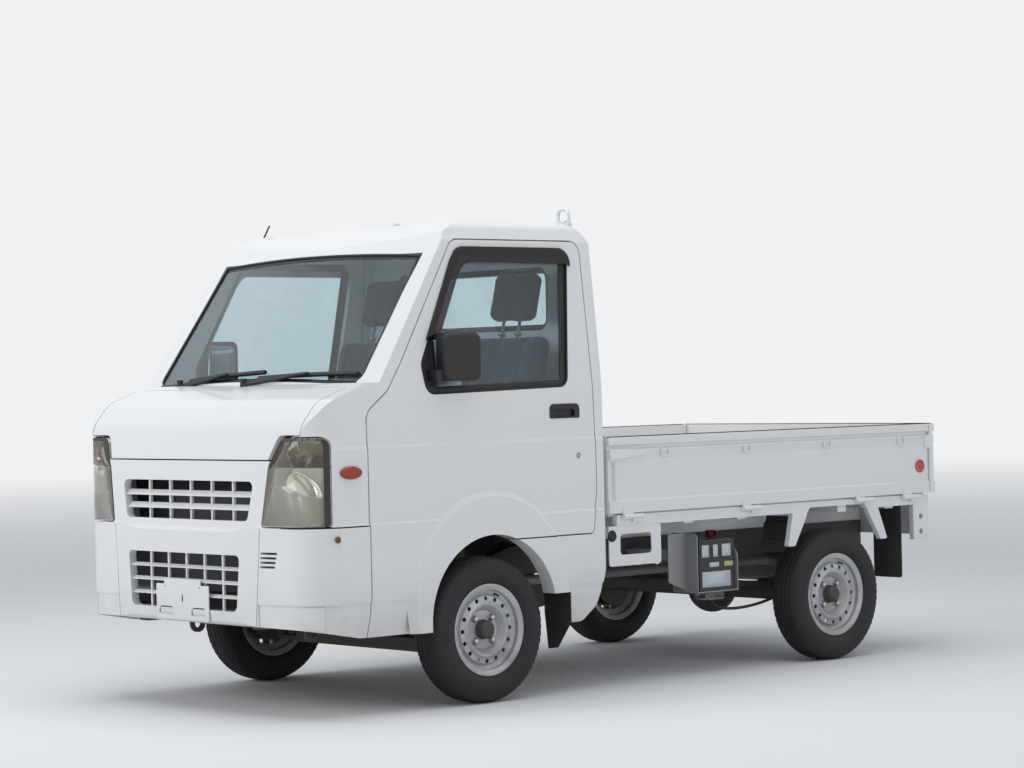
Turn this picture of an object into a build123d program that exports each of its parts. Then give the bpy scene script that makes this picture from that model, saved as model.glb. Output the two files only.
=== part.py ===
from build123d import *
import math
import os

# A small cab-over pickup truck with a drop-side bed, right-hand drive.
# Millimetres. +X is the truck's left side, +Y points to the rear, +Z is up.
# The origin is on the ground, under the middle of the whole truck.

# Whole vehicle
LENGTH = 3395.0
WIDTH = 1475.0
WHEELBASE = 1905.0
FRONT_OVERHANG = 865.0
TRACK = 1290.0
NOSE_Y = -LENGTH / 2
TAIL_Y = LENGTH / 2
FRONT_AXLE_Y = NOSE_Y + FRONT_OVERHANG
REAR_AXLE_Y = FRONT_AXLE_Y + WHEELBASE
HALF_WIDTH = WIDTH / 2
HALF_TRACK = TRACK / 2

# Wheels
TYRE_R = 268.0
TYRE_WIDTH = 145.0
RIM_R = 168.5
RIM_WIDTH = 116.0
RIM_WALL = 5.0
BEAD_R = 153.0
WHEEL_BORE_R = 33.0
VENT_COUNT = 16
VENT_R = 8.2
VENT_PITCH_R = 115.0
AXLE_Z = TYRE_R

# Clearances
SEAM = 5.0
SEAT_GAP = 0.3
PIN_GAP = 0.4

# Cab, heights from the ground and distances behind the front axle
CAB_BACK = 588.0
CAB_TOP_Z = 1790.0
SILL_Z = 262.0
WAIST_Z = 1140.0
WINDOW_TOP_Z = 1664.0
SIDE_WALL = 55.0
FRONT_WALL = 30.0
ROOF_WALL = 26.0
BUMPER_TOP_Z = 676.0
HOOD_BASE_Z = 913.0
COWL_Z = 1182.0
SCREEN_BASE_Y = -560.0
SCREEN_TOP_Y = -205.0
SCREEN_TOP_Z = 1690.0
SCREEN_BOW = 56.0
SCREEN_GLASS = 5.0
SCREEN_SINK = 8.0
PILLAR_SPLIT_X = 600.0
CAB_BACK_Y = FRONT_AXLE_Y + CAB_BACK

# Door outline and wheel arch, distances behind the front axle
DOOR_FRONT = -567.0
DOOR_REAR = 538.0
DOOR_TOP_Z = 1696.0
DOOR_BOTTOM_Z = 283.0
DOOR_STEP_Z = 597.0
ARCH_R = 305.0
ARCH_Y = FRONT_AXLE_Y + 5.0
ARCH_Z = 312.0
FLARE_OUTER_R = 402.0
FLARE_INNER_R = 372.0
FLARE_Y = FRONT_AXLE_Y + 2.0
FLARE_Z = 385.0
FLARE_BASE_X = 716.0
LEDGE_Z = 408.0
LEDGE_STEP = 5.0
LEDGE_IN_X = 432.0
NOTCH_REAR = 398.0
NOTCH_Z = 382.0

# Bed
BED_GAP = 12.0
DECK_Z = 661.0
GATE_HEIGHT = 291.0
GATE_WALL = 30.0
GATE_INSET = 6.5
TAIL_WALL = 32.0
BED_FRONT_Y = CAB_BACK_Y + BED_GAP
GATE_TOP_Z = DECK_Z + GATE_HEIGHT
GATE_OUT_X = HALF_WIDTH - GATE_INSET
GATE_IN_X = GATE_OUT_X - GATE_WALL

# Ladder frame
RAIL_X = 350.0
RAIL_WIDTH = 60.0
RAIL_BOTTOM_Z = 430.0
RAIL_HEIGHT = 110.0
RAIL_TOP_Z = RAIL_BOTTOM_Z + RAIL_HEIGHT

os.makedirs("parts", exist_ok=True)


def save(block, name):
    """Label a finished piece and write its file."""
    block.part.label = name
    export_step(block.part, "parts/" + name + ".step")


def outline(plane, rows):
    """Face on a plane from rows of (across, up, corner radius)."""
    with BuildSketch(plane) as drawn:
        with BuildLine():
            FilletPolyline(*[(row[0], row[1]) for row in rows], radius=[row[2] for row in rows], close=True)
        make_face()
    return drawn.sketch


def both_sides(rows):
    """A symmetrical outline from the rows of its right-hand half, listed from the bottom up."""
    return rows + [(-row[0], row[1], row[2]) for row in reversed(rows)]


def at_axle(rows):
    """Rows of (distance behind the front axle, height, radius) moved to the truck's own frame."""
    return [(FRONT_AXLE_Y + row[0], row[1], row[2]) for row in rows]


def side_profile(front_in, roof_in, back_in, floor_in):
    """Cab outline seen from the side, drawn in by the given wall thicknesses."""
    nose = NOSE_Y + front_in
    return outline(Plane.YZ, [
        # y, z, corner radius
        (nose + 10, 330 + floor_in, 20),
        (nose, 400, 60),
        (nose, BUMPER_TOP_Z - 14, 8),
        (nose + 9, BUMPER_TOP_Z, 3),
        (nose + 22, BUMPER_TOP_Z + 3, 3),
        (nose + 34, HOOD_BASE_Z, 200),
        (nose + 66, 1040, 90),
        (nose + 134, 1120, 110),
        (FRONT_AXLE_Y + SCREEN_BASE_Y + front_in, COWL_Z - roof_in / 2, 12),
        (FRONT_AXLE_Y + SCREEN_TOP_Y + front_in, SCREEN_TOP_Z - roof_in / 2, 40),
        (FRONT_AXLE_Y - 60, 1762 - roof_in, 250),
        (FRONT_AXLE_Y + 180, CAB_TOP_Z - 4 - roof_in, 400),
        (CAB_BACK_Y - 70, CAB_TOP_Z - roof_in, 120),
        (CAB_BACK_Y - back_in, 1700 - roof_in, 60),
        (CAB_BACK_Y - back_in, 520, 60),
        (CAB_BACK_Y - 46 - back_in, 320, 40),
        (CAB_BACK_Y - 110 - back_in, SILL_Z + floor_in, 30),
        (FRONT_AXLE_Y - 600, SILL_Z + 22 + floor_in, 0),
    ])


def front_section(side_in, top_in, floor_in):
    """Cab outline seen from the front, with its tumblehome, drawn in by the wall thicknesses."""
    body_x = HALF_WIDTH - side_in
    return outline(Plane.XZ, both_sides([
        # x, z, corner radius
        (body_x - 45, SILL_Z - 4 + floor_in, 20),
        (body_x - 14, 372, 60),
        (body_x - 9, 450, 60),
        (body_x - 9, BUMPER_TOP_Z + 4, 4),
        (body_x - 15, BUMPER_TOP_Z + 12, 4),
        (body_x - 15, 950, 4),
        (body_x - 19, 960, 4),
        (body_x - 23, WAIST_Z, 200),
        (body_x - 82, DOOR_TOP_Z - 2, 30),
        (body_x - 112, 1752 - top_in, 40),
        (body_x - 190, 1776 - top_in, 100),
        (260, CAB_TOP_Z - top_in, 400),
    ]))


def plan_section(front_in, side_in, back_in):
    """Cab outline seen from above, with its rounded nose."""
    nose = NOSE_Y + front_in
    body_x = HALF_WIDTH - side_in
    rows = [
        # x, y, corner radius
        (300, nose, 900),
        (body_x - 77, nose + 48, 160),
        (body_x, nose + 175, 120),
        (body_x, CAB_BACK_Y - back_in, 40),
    ]
    return outline(Plane.XY, both_sides(rows))


def cab_form(front_in, side_in, roof_in, back_in, floor_in):
    """Solid form of the cab: its three views cut into one another."""
    with BuildPart() as form:
        extrude(side_profile(front_in, roof_in, back_in, floor_in), amount=HALF_WIDTH, both=True)
        extrude(front_section(side_in, roof_in, floor_in), amount=LENGTH, both=True, mode=Mode.INTERSECT)
        extrude(plan_section(front_in, side_in, back_in), amount=LENGTH, both=True, mode=Mode.INTERSECT)
    return form.part


# The windscreen plane: its local x runs across the cab and its local z up the glass
SCREEN_RUN = SCREEN_TOP_Y - SCREEN_BASE_Y
SCREEN_RISE = SCREEN_TOP_Z - COWL_Z
SCREEN_SLOPE = math.hypot(SCREEN_RUN, SCREEN_RISE)
screen_up = Vector(0, SCREEN_RUN / SCREEN_SLOPE, SCREEN_RISE / SCREEN_SLOPE)
screen_base = Vector(0, FRONT_AXLE_Y + SCREEN_BASE_Y, COWL_Z)
screen_across = Plane(origin=screen_base, x_dir=(1, 0, 0), z_dir=screen_up)
SCREEN_SPAN = HALF_WIDTH + 20.0


def screen_band(plane, near, far):
    """Bowed band across the windscreen between two depths behind its outer face."""
    span = SCREEN_SPAN
    bow = SCREEN_BOW
    with BuildSketch(plane) as band:
        with BuildLine():
            ThreePointArc((-span, bow + near), (0, near), (span, bow + near))
            Line((span, bow + near), (span, bow + far))
            ThreePointArc((span, bow + far), (0, far), (-span, bow + far))
            Line((-span, bow + far), (-span, bow + near))
        make_face()
    return band.sketch


def screen_cutter(inset):
    """What lies in front of the bowed windscreen surface, above the cowl."""
    with BuildPart() as cutter:
        extrude(screen_band(screen_across, inset - 400, inset), amount=SCREEN_SLOPE * 1.6, both=True)
        with BuildSketch(Plane.XY.offset(COWL_Z)):
            Rectangle(WIDTH * 2, LENGTH * 2)
        extrude(amount=CAB_TOP_Z, mode=Mode.INTERSECT)
    return cutter.part


def outer_layer(region, depth):
    """What a region shares with the cab's outer layer of a given depth."""
    with BuildPart() as layer:
        add(region)
        add(cab_form(depth, depth, 0, 0, 0), mode=Mode.SUBTRACT)
    return layer.part


with BuildPart() as ledge_region:
    with Locations((0, 0, LEDGE_Z / 2)):
        Box(WIDTH * 2, LENGTH * 2, LEDGE_Z)
        Box(LEDGE_IN_X * 2, LENGTH * 2, LEDGE_Z, mode=Mode.SUBTRACT)

with BuildPart() as cab_outer:
    add(cab_form(0, 0, 0, 0, 0))
    add(screen_cutter(0), mode=Mode.SUBTRACT)
    add(outer_layer(ledge_region.part, LEDGE_STEP), mode=Mode.SUBTRACT)
    for side in (1, -1):
        with BuildSketch(Plane(origin=(side * FLARE_BASE_X, FLARE_Y, FLARE_Z), z_dir=(side, 0, 0))):
            Circle(FLARE_OUTER_R)
        with BuildSketch(Plane(origin=(side * HALF_WIDTH, FLARE_Y, FLARE_Z), z_dir=(side, 0, 0))):
            Circle(FLARE_INNER_R)
        loft()
    with BuildSketch(Plane.XY.offset(SILL_Z)):
        Rectangle(WIDTH * 2, LENGTH * 2)
    extrude(amount=CAB_TOP_Z, mode=Mode.INTERSECT)

with BuildPart() as cab_inner:
    add(cab_form(FRONT_WALL, SIDE_WALL, ROOF_WALL, FRONT_WALL, 40))
    add(screen_cutter(FRONT_WALL), mode=Mode.SUBTRACT)

cab_shell = cab_outer.part - cab_inner.part


def grown(rows, plane, amount):
    """Face of an outline moved out by an amount, in when it is negative."""
    with BuildSketch(plane) as drawn:
        add(outline(Plane.XY, rows))
        offset(amount=amount)
    return drawn.sketch


# Door outline: y behind the front axle, z, corner radius
door_rows = at_axle([
    (DOOR_FRONT, DOOR_BOTTOM_Z, 6),
    (DOOR_FRONT, 1075, 60),
    (DOOR_FRONT + 103, 1151, 70),
    (DOOR_FRONT + 175, 1250, 60),
    (-135, 1645, 0),
    (-105, DOOR_TOP_Z, 55),
    (DOOR_REAR - 6, DOOR_TOP_Z, 45),
    (DOOR_REAR, 760, 60),
    (DOOR_REAR - 25, DOOR_STEP_Z, 14),
    (60, DOOR_STEP_Z, 0),
    (0, DOOR_BOTTOM_Z, 0),
])

# Window opening in the door, same columns
window_rows = at_axle([
    (-285, 1132, 45),
    (-303, 1245, 60),
    (-112, 1620, 0),
    (-80, WINDOW_TOP_Z, 45),
    (472, WINDOW_TOP_Z, 50),
    (411, 1149, 45),
])


def door_face(amount):
    """Door region seen from the side, grown by an amount, with the wheel arch cut out of it."""
    with BuildPart() as region:
        extrude(grown(door_rows, Plane.YZ, amount), amount=WIDTH, both=True)
        with BuildSketch(Plane.YZ):
            with Locations((ARCH_Y, ARCH_Z)):
                Circle(ARCH_R)
            with Locations((ARCH_Y, ARCH_Z / 2)):
                Rectangle(ARCH_R * 2, ARCH_Z)
        extrude(amount=WIDTH, both=True, mode=Mode.SUBTRACT)
    return region.part


# The wheel arch cut through the cab side
with BuildPart() as arch_region:
    with BuildSketch(Plane.YZ):
        with Locations((ARCH_Y, ARCH_Z)):
            Circle(ARCH_R)
        with Locations((ARCH_Y, ARCH_Z / 2)):
            Rectangle(ARCH_R * 2, ARCH_Z)
    extrude(amount=WIDTH, both=True)

# Lamp, hood and nose outlines seen from the front: x, z, corner radius
LAMP_IN_LOW = 455.0
LAMP_IN_TOP = 519.0
LAMP_OUT_X = 712.0
LAMP_TOP_Z = 996.0
LAMP_SPLIT_Z = 890.0
LAMP_BACK = 170.0
LAMP_DEPTH_Y = NOSE_Y + LAMP_BACK
HOOD_EDGE = 484.0
FENDER_REAR_Y = FRONT_AXLE_Y + DOOR_FRONT - SEAM


def lamp_rows(side, amount):
    """Headlamp outline on one side, grown by an amount."""
    rows = [
        (LAMP_IN_LOW - amount, BUMPER_TOP_Z + SEAM - amount, 12),
        (LAMP_OUT_X + amount, BUMPER_TOP_Z + SEAM - amount, 8),
        (LAMP_OUT_X + amount, LAMP_TOP_Z + amount, 25),
        (LAMP_IN_TOP + 20 - amount, LAMP_TOP_Z + amount, 30),
        (LAMP_IN_TOP - 30 - amount, LAMP_SPLIT_Z, 0),
    ]
    return [(side * row[0], row[1], row[2]) for row in rows]


hood_rows = both_sides([
    (HOOD_EDGE, HOOD_BASE_Z + SEAM, 4),
    (LAMP_IN_TOP + 4, LAMP_TOP_Z + SEAM + 3, 30),
    (640, LAMP_TOP_Z + SEAM + 3, 6),
    (640, COWL_Z + 30, 0),
])
HOOD_BACK_Y = FRONT_AXLE_Y - 600.0
HOOD_CEILING_Z = 1400.0


def nose_piece(block_rows, reach_y, amount):
    """Solid seen from the front as an outline, from the nose back to a station."""
    with BuildPart() as region:
        extrude(grown(block_rows, Plane.XZ.offset(-reach_y), amount), amount=LENGTH)
    return region.part


lamp_zone = nose_piece(lamp_rows(1, 0), LAMP_DEPTH_Y, SEAM / 2)
lamp_zone = lamp_zone + nose_piece(lamp_rows(-1, 0), LAMP_DEPTH_Y, SEAM / 2)
hood_zone = nose_piece(hood_rows, HOOD_BACK_Y, SEAM)

# Bumper: the nose below the lamps, with the lower grille opening
GRILLE_LOW = [(324, 377, 26), (343, 579, 20)]
GRILLE_TOP = [(372, 700, 22), (403, 841, 22)]
POST_WIDTH = 9.0
EDGE_LAP = 8.0


def grille(block, rows, face_y, bars, posts, depth, rise):
    """Wedge slats across an opening, each sloping up and back, and posts behind them."""
    low_x, low_z = rows[0][0], rows[0][1]
    top_x, top_z = rows[1][0], rows[1][1]
    pitch_z = (top_z - low_z) / (bars + 1)
    pitch_x = (low_x + top_x) / (posts + 1)
    with block:
        for row in range(1, bars + 1):
            z = low_z + row * pitch_z
            half = low_x + (top_x - low_x) * row / (bars + 1) + EDGE_LAP
            wedge = [
                # y, z, corner radius
                (face_y, z - rise / 2, 0),
                (face_y, z - rise / 4, 0),
                (face_y + depth * 0.8, z + rise / 2, 0),
                (face_y + depth, z + rise / 2, 0),
                (face_y + depth, z - rise / 2, 0),
            ]
            extrude(outline(Plane.YZ, wedge), amount=half, both=True)
        for post in range(1, posts + 1):
            x = -(low_x + top_x) / 2 + post * pitch_x
            with Locations((x, face_y + depth * 0.75, (low_z + top_z) / 2)):
                Box(POST_WIDTH, depth / 2, top_z - low_z + 1.5 * EDGE_LAP)


# Splits of the bumper into its centre and corners, seen from the front, and its vent slots
SPLIT_TOP_X = 446.0
SPLIT_LOW_X = 417.0
SPLIT_WIDTH = 5.0
SPLIT_DEPTH = 4.0
VENT_SLOTS = [
    # near x, far x, z
    (446, 519, 541),
    (447, 523, 557),
    (448, 527, 573),
    (450, 531, 589),
]
VENT_HEIGHT = 8.0
SCREW_Y = FRONT_AXLE_Y - 716.0
SCREW_Z = 637.0
SCREW_R = 6.0

with BuildPart() as split_region:
    for side in (1, -1):
        split_rows = [
            # x, z, corner radius
            (side * SPLIT_LOW_X, 300, 0),
            (side * SPLIT_TOP_X, 690, 0),
            (side * (SPLIT_TOP_X + SPLIT_WIDTH), 690, 0),
            (side * (SPLIT_LOW_X + SPLIT_WIDTH), 300, 0),
        ]
        extrude(outline(Plane.XZ.offset(-(NOSE_Y + 100)), split_rows), amount=200)


with BuildPart() as bumper:
    add(cab_shell)
    with Locations((0, (NOSE_Y + FENDER_REAR_Y) / 2, (SILL_Z + BUMPER_TOP_Z) / 2)):
        Box(WIDTH * 2, FENDER_REAR_Y - NOSE_Y, BUMPER_TOP_Z - SILL_Z, mode=Mode.INTERSECT)
    extrude(outline(Plane.XZ.offset(-(NOSE_Y + 100)), both_sides(GRILLE_LOW)), amount=200, mode=Mode.SUBTRACT)
    with Locations((0, FENDER_REAR_Y - 70, 300)):
        Box(2 * (HALF_WIDTH - SIDE_WALL), 320, 200, mode=Mode.SUBTRACT)
    add(outer_layer(split_region.part, SPLIT_DEPTH), mode=Mode.SUBTRACT)
    for near_x, far_x, z in VENT_SLOTS:
        with Locations(((near_x + far_x) / 2, NOSE_Y, z)):
            Box(far_x - near_x, 160, VENT_HEIGHT, mode=Mode.SUBTRACT)
    for side in (1, -1):
        with BuildSketch(Plane(origin=(side * (HALF_WIDTH - 30), SCREW_Y, SCREW_Z), z_dir=(side, 0, 0))):
            Circle(SCREW_R)
        extrude(amount=WIDTH, mode=Mode.SUBTRACT)
grille(bumper, GRILLE_LOW, NOSE_Y + 13, 3, 5, 16, 12)
save(bumper, "bumper")

# Bracket for the number plate, on the nose in front of the lower grille
PLATE_HALF = 162.0
PLATE_LOW_Z = 335.0
PLATE_HIGH_Z = 483.0
PLATE_WALL = 3.0
PLATE_BOLT_X = 105.0
PLATE_BOLT_Z = 455.0
BOLT_HOLE_R = 3.5
FOOT_Z_HIGH = 356.0
plate_rows = both_sides([
    (PLATE_HALF, PLATE_LOW_Z, 8),
    (PLATE_HALF, PLATE_HIGH_Z - 20, 4),
    (PLATE_HALF - 50, PLATE_HIGH_Z - 20, 4),
    (PLATE_HALF - 50, PLATE_HIGH_Z, 4),
])
slot_rows = [
    # x, z, corner radius
    (PLATE_BOLT_X - 52, PLATE_LOW_Z + 18, 4),
    (PLATE_BOLT_X + 42, PLATE_LOW_Z + 18, 4),
    (PLATE_BOLT_X + 42, PLATE_LOW_Z + 47, 20),
    (PLATE_BOLT_X - 52, PLATE_LOW_Z + 47, 20),
]
with BuildPart() as plate_bracket:
    extrude(outline(Plane.XZ.offset(-NOSE_Y - PLATE_WALL), plate_rows), amount=PLATE_WALL)
    for side in (1, -1):
        rows = [(side * row[0], row[1], row[2]) for row in slot_rows]
        extrude(outline(Plane.XZ, rows), amount=LENGTH, mode=Mode.SUBTRACT)
        with BuildSketch(Plane.XZ):
            with Locations((side * PLATE_BOLT_X, PLATE_BOLT_Z)):
                Circle(BOLT_HOLE_R)
        extrude(amount=LENGTH, mode=Mode.SUBTRACT)
    with BuildSketch(Plane.XZ):
        with Locations((0, PLATE_BOLT_Z - 42)):
            SlotOverall(30, 8, rotation=90)
    extrude(amount=LENGTH, mode=Mode.SUBTRACT)
    for x in (-PLATE_HALF + 18, 0, PLATE_HALF - 18):
        with Locations((x, NOSE_Y + 8, (PLATE_LOW_Z + FOOT_Z_HIGH) / 2)):
            Box(24, 12, FOOT_Z_HIGH - PLATE_LOW_Z)
    add(bumper.part.moved(Location((0, -SEAT_GAP, 0))), mode=Mode.SUBTRACT)
save(plate_bracket, "plate_bracket")

# Nose panel with the upper grille, between the lamps
with BuildPart() as front_panel:
    add(cab_shell)
    with Locations((0, (NOSE_Y + LAMP_DEPTH_Y) / 2, (BUMPER_TOP_Z + HOOD_BASE_Z) / 2)):
        Box(WIDTH * 2, LAMP_DEPTH_Y - NOSE_Y, HOOD_BASE_Z - BUMPER_TOP_Z, mode=Mode.INTERSECT)
    add(lamp_zone, mode=Mode.SUBTRACT)
    with Locations((0, NOSE_Y, BUMPER_TOP_Z)):
        Box(LAMP_IN_TOP * 2 + 60, LENGTH, 1000, mode=Mode.INTERSECT)
    extrude(outline(Plane.XZ.offset(-(NOSE_Y + 120)), both_sides(GRILLE_TOP)), amount=200, mode=Mode.SUBTRACT)
grille(front_panel, GRILLE_TOP, NOSE_Y + 36, 2, 5, 22, 20)
save(front_panel, "front_panel")

# Headlamps and their turn signals, one block on each side, with a split line between the two
with BuildPart() as lamp_split:
    with Locations((0, NOSE_Y, LAMP_SPLIT_Z)):
        Box(WIDTH * 2, 2 * LAMP_BACK, SPLIT_DEPTH)

with BuildPart() as headlamps:
    add(cab_outer.part)
    with BuildSketch(Plane.XZ.offset(-LAMP_DEPTH_Y)):
        for side in (1, -1):
            add(outline(Plane.XY, lamp_rows(side, -SEAM / 2 + 0.3)))
    extrude(amount=LENGTH, mode=Mode.INTERSECT)
    with Locations((0, LAMP_DEPTH_Y, 800)):
        Box(2 * (LAMP_OUT_X - 60), 60, 500, mode=Mode.SUBTRACT)
    add(outer_layer(lamp_split.part, SPLIT_DEPTH), mode=Mode.SUBTRACT)
save(headlamps, "headlamps")

# Service lid over the nose, hinged under the windscreen
with BuildPart() as hood:
    add(cab_shell)
    add(nose_piece(hood_rows, HOOD_BACK_Y, 0), mode=Mode.INTERSECT)
    with Locations((0, NOSE_Y, (HOOD_BASE_Z + HOOD_CEILING_Z) / 2)):
        Box(WIDTH * 2, LENGTH, HOOD_CEILING_Z - HOOD_BASE_Z, mode=Mode.INTERSECT)
save(hood, "hood")

# Fender panels between the lamps and the doors
with BuildPart() as fenders:
    add(cab_shell)
    with Locations((0, (NOSE_Y + FENDER_REAR_Y) / 2, (BUMPER_TOP_Z + COWL_Z) / 2 + SEAM / 2)):
        Box(WIDTH * 2, FENDER_REAR_Y - NOSE_Y, COWL_Z - BUMPER_TOP_Z - SEAM, mode=Mode.INTERSECT)
    with Locations((0, NOSE_Y, 800)):
        Box(2 * 600, LENGTH, 1000, mode=Mode.SUBTRACT)
    add(lamp_zone, mode=Mode.SUBTRACT)
    add(hood_zone, mode=Mode.SUBTRACT)
save(fenders, "fenders")

# Oval marker lamps on the fenders
MARKER_Y = FRONT_AXLE_Y - 650.0
MARKER_Z = 868.0
MARKER_LENGTH = 95.0
MARKER_HEIGHT = 46.0
MARKER_X = HALF_WIDTH - 15.0 + SEAT_GAP
MARKER_WALL = 12.0
with BuildPart() as marker_lamps:
    with BuildSketch(Plane.YZ.offset(MARKER_X), Plane.YZ.offset(-MARKER_X - MARKER_WALL)):
        with Locations((MARKER_Y, MARKER_Z)):
            Ellipse(MARKER_LENGTH / 2, MARKER_HEIGHT / 2)
    extrude(amount=MARKER_WALL)
    fillet(marker_lamps.faces().sort_by(Axis.X)[-1].edges(), radius=7)
    fillet(marker_lamps.faces().sort_by(Axis.X)[0].edges(), radius=7)
save(marker_lamps, "marker_lamps")

# Windscreen opening on the glass plane: across, up the slope, corner radius
screen_plane = Plane(origin=screen_base, x_dir=(1, 0, 0), z_dir=(0, screen_up.Z, -screen_up.Y))
SCREEN_LOW = 14.0
SCREEN_HIGH = 588.0
screen_rows = both_sides([
    (620, SCREEN_LOW, 60),
    (592, SCREEN_HIGH, 50),
])


def screen_opening(amount):
    """Prism through the windscreen opening, grown by an amount."""
    with BuildPart() as region:
        flipped = [(row[0], -row[1], row[2]) for row in screen_rows]
        extrude(grown(flipped, screen_plane, amount), amount=300, both=True)
    return region.part


screen_hole = screen_opening(0)
with BuildPart() as windscreen:
    add(screen_opening(-SEAT_GAP))
    glass_band = screen_band(screen_across, SCREEN_SINK, SCREEN_SINK + SCREEN_GLASS)
    extrude(glass_band, amount=SCREEN_SLOPE * 1.6, both=True, mode=Mode.INTERSECT)
save(windscreen, "windscreen")

# Rear window: x, z, corner radius
REAR_WINDOW_X = 446.0
REAR_WINDOW_LOW_Z = 1368.0
REAR_WINDOW_TOP_Z = 1612.0
rear_window_rows = both_sides([
    (REAR_WINDOW_X, REAR_WINDOW_LOW_Z, 45),
    (REAR_WINDOW_X, REAR_WINDOW_TOP_Z, 45),
])

# Roof, back panel, cowl and the two side frames, split where the panels meet
ROOF_SPLIT_Z = 1650.0
BACK_BOTTOM_Z = RAIL_TOP_Z + SEAT_GAP
COWL_BACK_Y = FRONT_AXLE_Y - 520.0

with BuildPart() as roof:
    add(cab_shell)
    with Locations((0, 0, (ROOF_SPLIT_Z + CAB_TOP_Z) / 2)):
        Box(2 * PILLAR_SPLIT_X, LENGTH, CAB_TOP_Z - ROOF_SPLIT_Z, mode=Mode.INTERSECT)
    add(screen_hole, mode=Mode.SUBTRACT)
save(roof, "roof")

with BuildPart() as back_panel:
    add(cab_shell)
    with Locations((0, CAB_BACK_Y, (BACK_BOTTOM_Z + ROOF_SPLIT_Z) / 2)):
        Box(2 * PILLAR_SPLIT_X, 2 * FRONT_WALL + 10, ROOF_SPLIT_Z - BACK_BOTTOM_Z, mode=Mode.INTERSECT)
    extrude(outline(Plane.XZ, rear_window_rows), amount=LENGTH, both=True, mode=Mode.SUBTRACT)
save(back_panel, "back_panel")

with BuildPart() as rear_window:
    with BuildSketch(Plane.XZ.offset(-(CAB_BACK_Y - 14))):
        add(grown(rear_window_rows, Plane.XY, -SEAT_GAP))
    extrude(amount=SCREEN_GLASS)
save(rear_window, "rear_window")

with BuildPart() as cowl:
    add(cab_shell)
    with Locations((0, (HOOD_BACK_Y + SEAM + COWL_BACK_Y) / 2, COWL_Z - 10)):
        Box(2 * PILLAR_SPLIT_X, COWL_BACK_Y - HOOD_BACK_Y - SEAM, 60, mode=Mode.INTERSECT)
    add(screen_hole, mode=Mode.SUBTRACT)
save(cowl, "cowl")

# Wipers: a spindle on the cowl, an arm and a blade lying on the bowed glass
WIPER_TABLE = [
    # spindle x, blade from x, to x, up the slope at its ends
    (-426.0, -390.0, 82.0, 34.0, 58.0),
    (0.0, 60.0, 585.0, 30.0, 66.0),
]
BLADE_HALF = 6.0
SPINDLE_R = 12.0


def screen_strip(rows, near, far):
    """Strip of the bowed screen surface between two depths, from rows of (across, up the slope, radius)."""
    with BuildPart() as strip:
        extrude(screen_band(screen_across, near, far), amount=SCREEN_SLOPE * 1.6, both=True)
        flipped = [(row[0], -row[1], row[2]) for row in rows]
        extrude(outline(screen_plane, flipped), amount=300, both=True, mode=Mode.INTERSECT)
    return strip.part


with BuildPart() as wipers:
    for spindle_x, near_x, far_x, near_up, far_up in WIPER_TABLE:
        add(screen_strip([
            (near_x, near_up - BLADE_HALF, 0),
            (far_x, far_up - BLADE_HALF, 0),
            (far_x, far_up + BLADE_HALF, 0),
            (near_x, near_up + BLADE_HALF, 0),
        ], -5, SCREEN_SINK - SEAT_GAP))
        middle_x = (near_x + far_x) / 2
        middle_up = (near_up + far_up) / 2
        add(screen_strip([
            (spindle_x - 11, -6, 0),
            (spindle_x + 11, -10, 0),
            (middle_x + 20, middle_up - 4, 0),
            (middle_x + 20, middle_up + 4, 0),
            (spindle_x, 12, 0),
        ], -15, -3))
        bow = SCREEN_BOW * (spindle_x / SCREEN_SPAN) ** 2
        with Locations((spindle_x, FRONT_AXLE_Y + SCREEN_BASE_Y - 8 + bow, COWL_Z + 6)):
            Cylinder(SPINDLE_R, 36)
    add(cowl.part.moved(Location((0, 0, SEAT_GAP))), mode=Mode.SUBTRACT)
save(wipers, "wipers")

# Flange of the door opening that the closed door rests against: x, y
STOP_LOW_Z = 700.0
STOP_HEIGHT = 240.0
STOP_LAP = 18.0
STOP_WALL = 12.0
DOOR_INNER_X = HALF_WIDTH - SIDE_WALL - 15.0
DOOR_REAR_Y = FRONT_AXLE_Y + DOOR_REAR
stop_rows = [
    (DOOR_INNER_X - STOP_WALL, DOOR_REAR_Y - STOP_LAP),
    (DOOR_INNER_X - SEAT_GAP, DOOR_REAR_Y - STOP_LAP),
    (DOOR_INNER_X - SEAT_GAP, DOOR_REAR_Y + SEAM + 3),
    (DOOR_INNER_X + 10, DOOR_REAR_Y + SEAM + 3),
    (DOOR_INNER_X + 10, DOOR_REAR_Y + SEAM + 12),
    (DOOR_INNER_X - STOP_WALL, DOOR_REAR_Y + SEAM + 12),
]

with BuildPart() as cab_sides:
    add(cab_shell)
    with Locations((0, 0, CAB_TOP_Z / 2)):
        Box(2 * PILLAR_SPLIT_X, LENGTH, CAB_TOP_Z, mode=Mode.SUBTRACT)
    with Locations((0, (NOSE_Y + FENDER_REAR_Y) / 2, COWL_Z / 2)):
        Box(WIDTH * 2, FENDER_REAR_Y - NOSE_Y, COWL_Z, mode=Mode.SUBTRACT)
    with Locations((0, (NOSE_Y + ARCH_Y) / 2, 530)):
        Box(WIDTH * 2, ARCH_Y - NOSE_Y, 1060, mode=Mode.SUBTRACT)
    with Locations((0, FRONT_AXLE_Y + NOTCH_REAR / 2, NOTCH_Z / 2)):
        Box(WIDTH * 2, NOTCH_REAR, NOTCH_Z, mode=Mode.SUBTRACT)
    add(door_face(SEAM), mode=Mode.SUBTRACT)
    add(arch_region.part, mode=Mode.SUBTRACT)
    add(screen_hole, mode=Mode.SUBTRACT)
    for side in (1, -1):
        with BuildSketch(Plane.XY.offset(STOP_LOW_Z)):
            with BuildLine():
                Polyline(*[(side * row[0], row[1]) for row in stop_rows], close=True)
            make_face()
        extrude(amount=STOP_HEIGHT)
save(cab_sides, "cab_sides")

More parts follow.
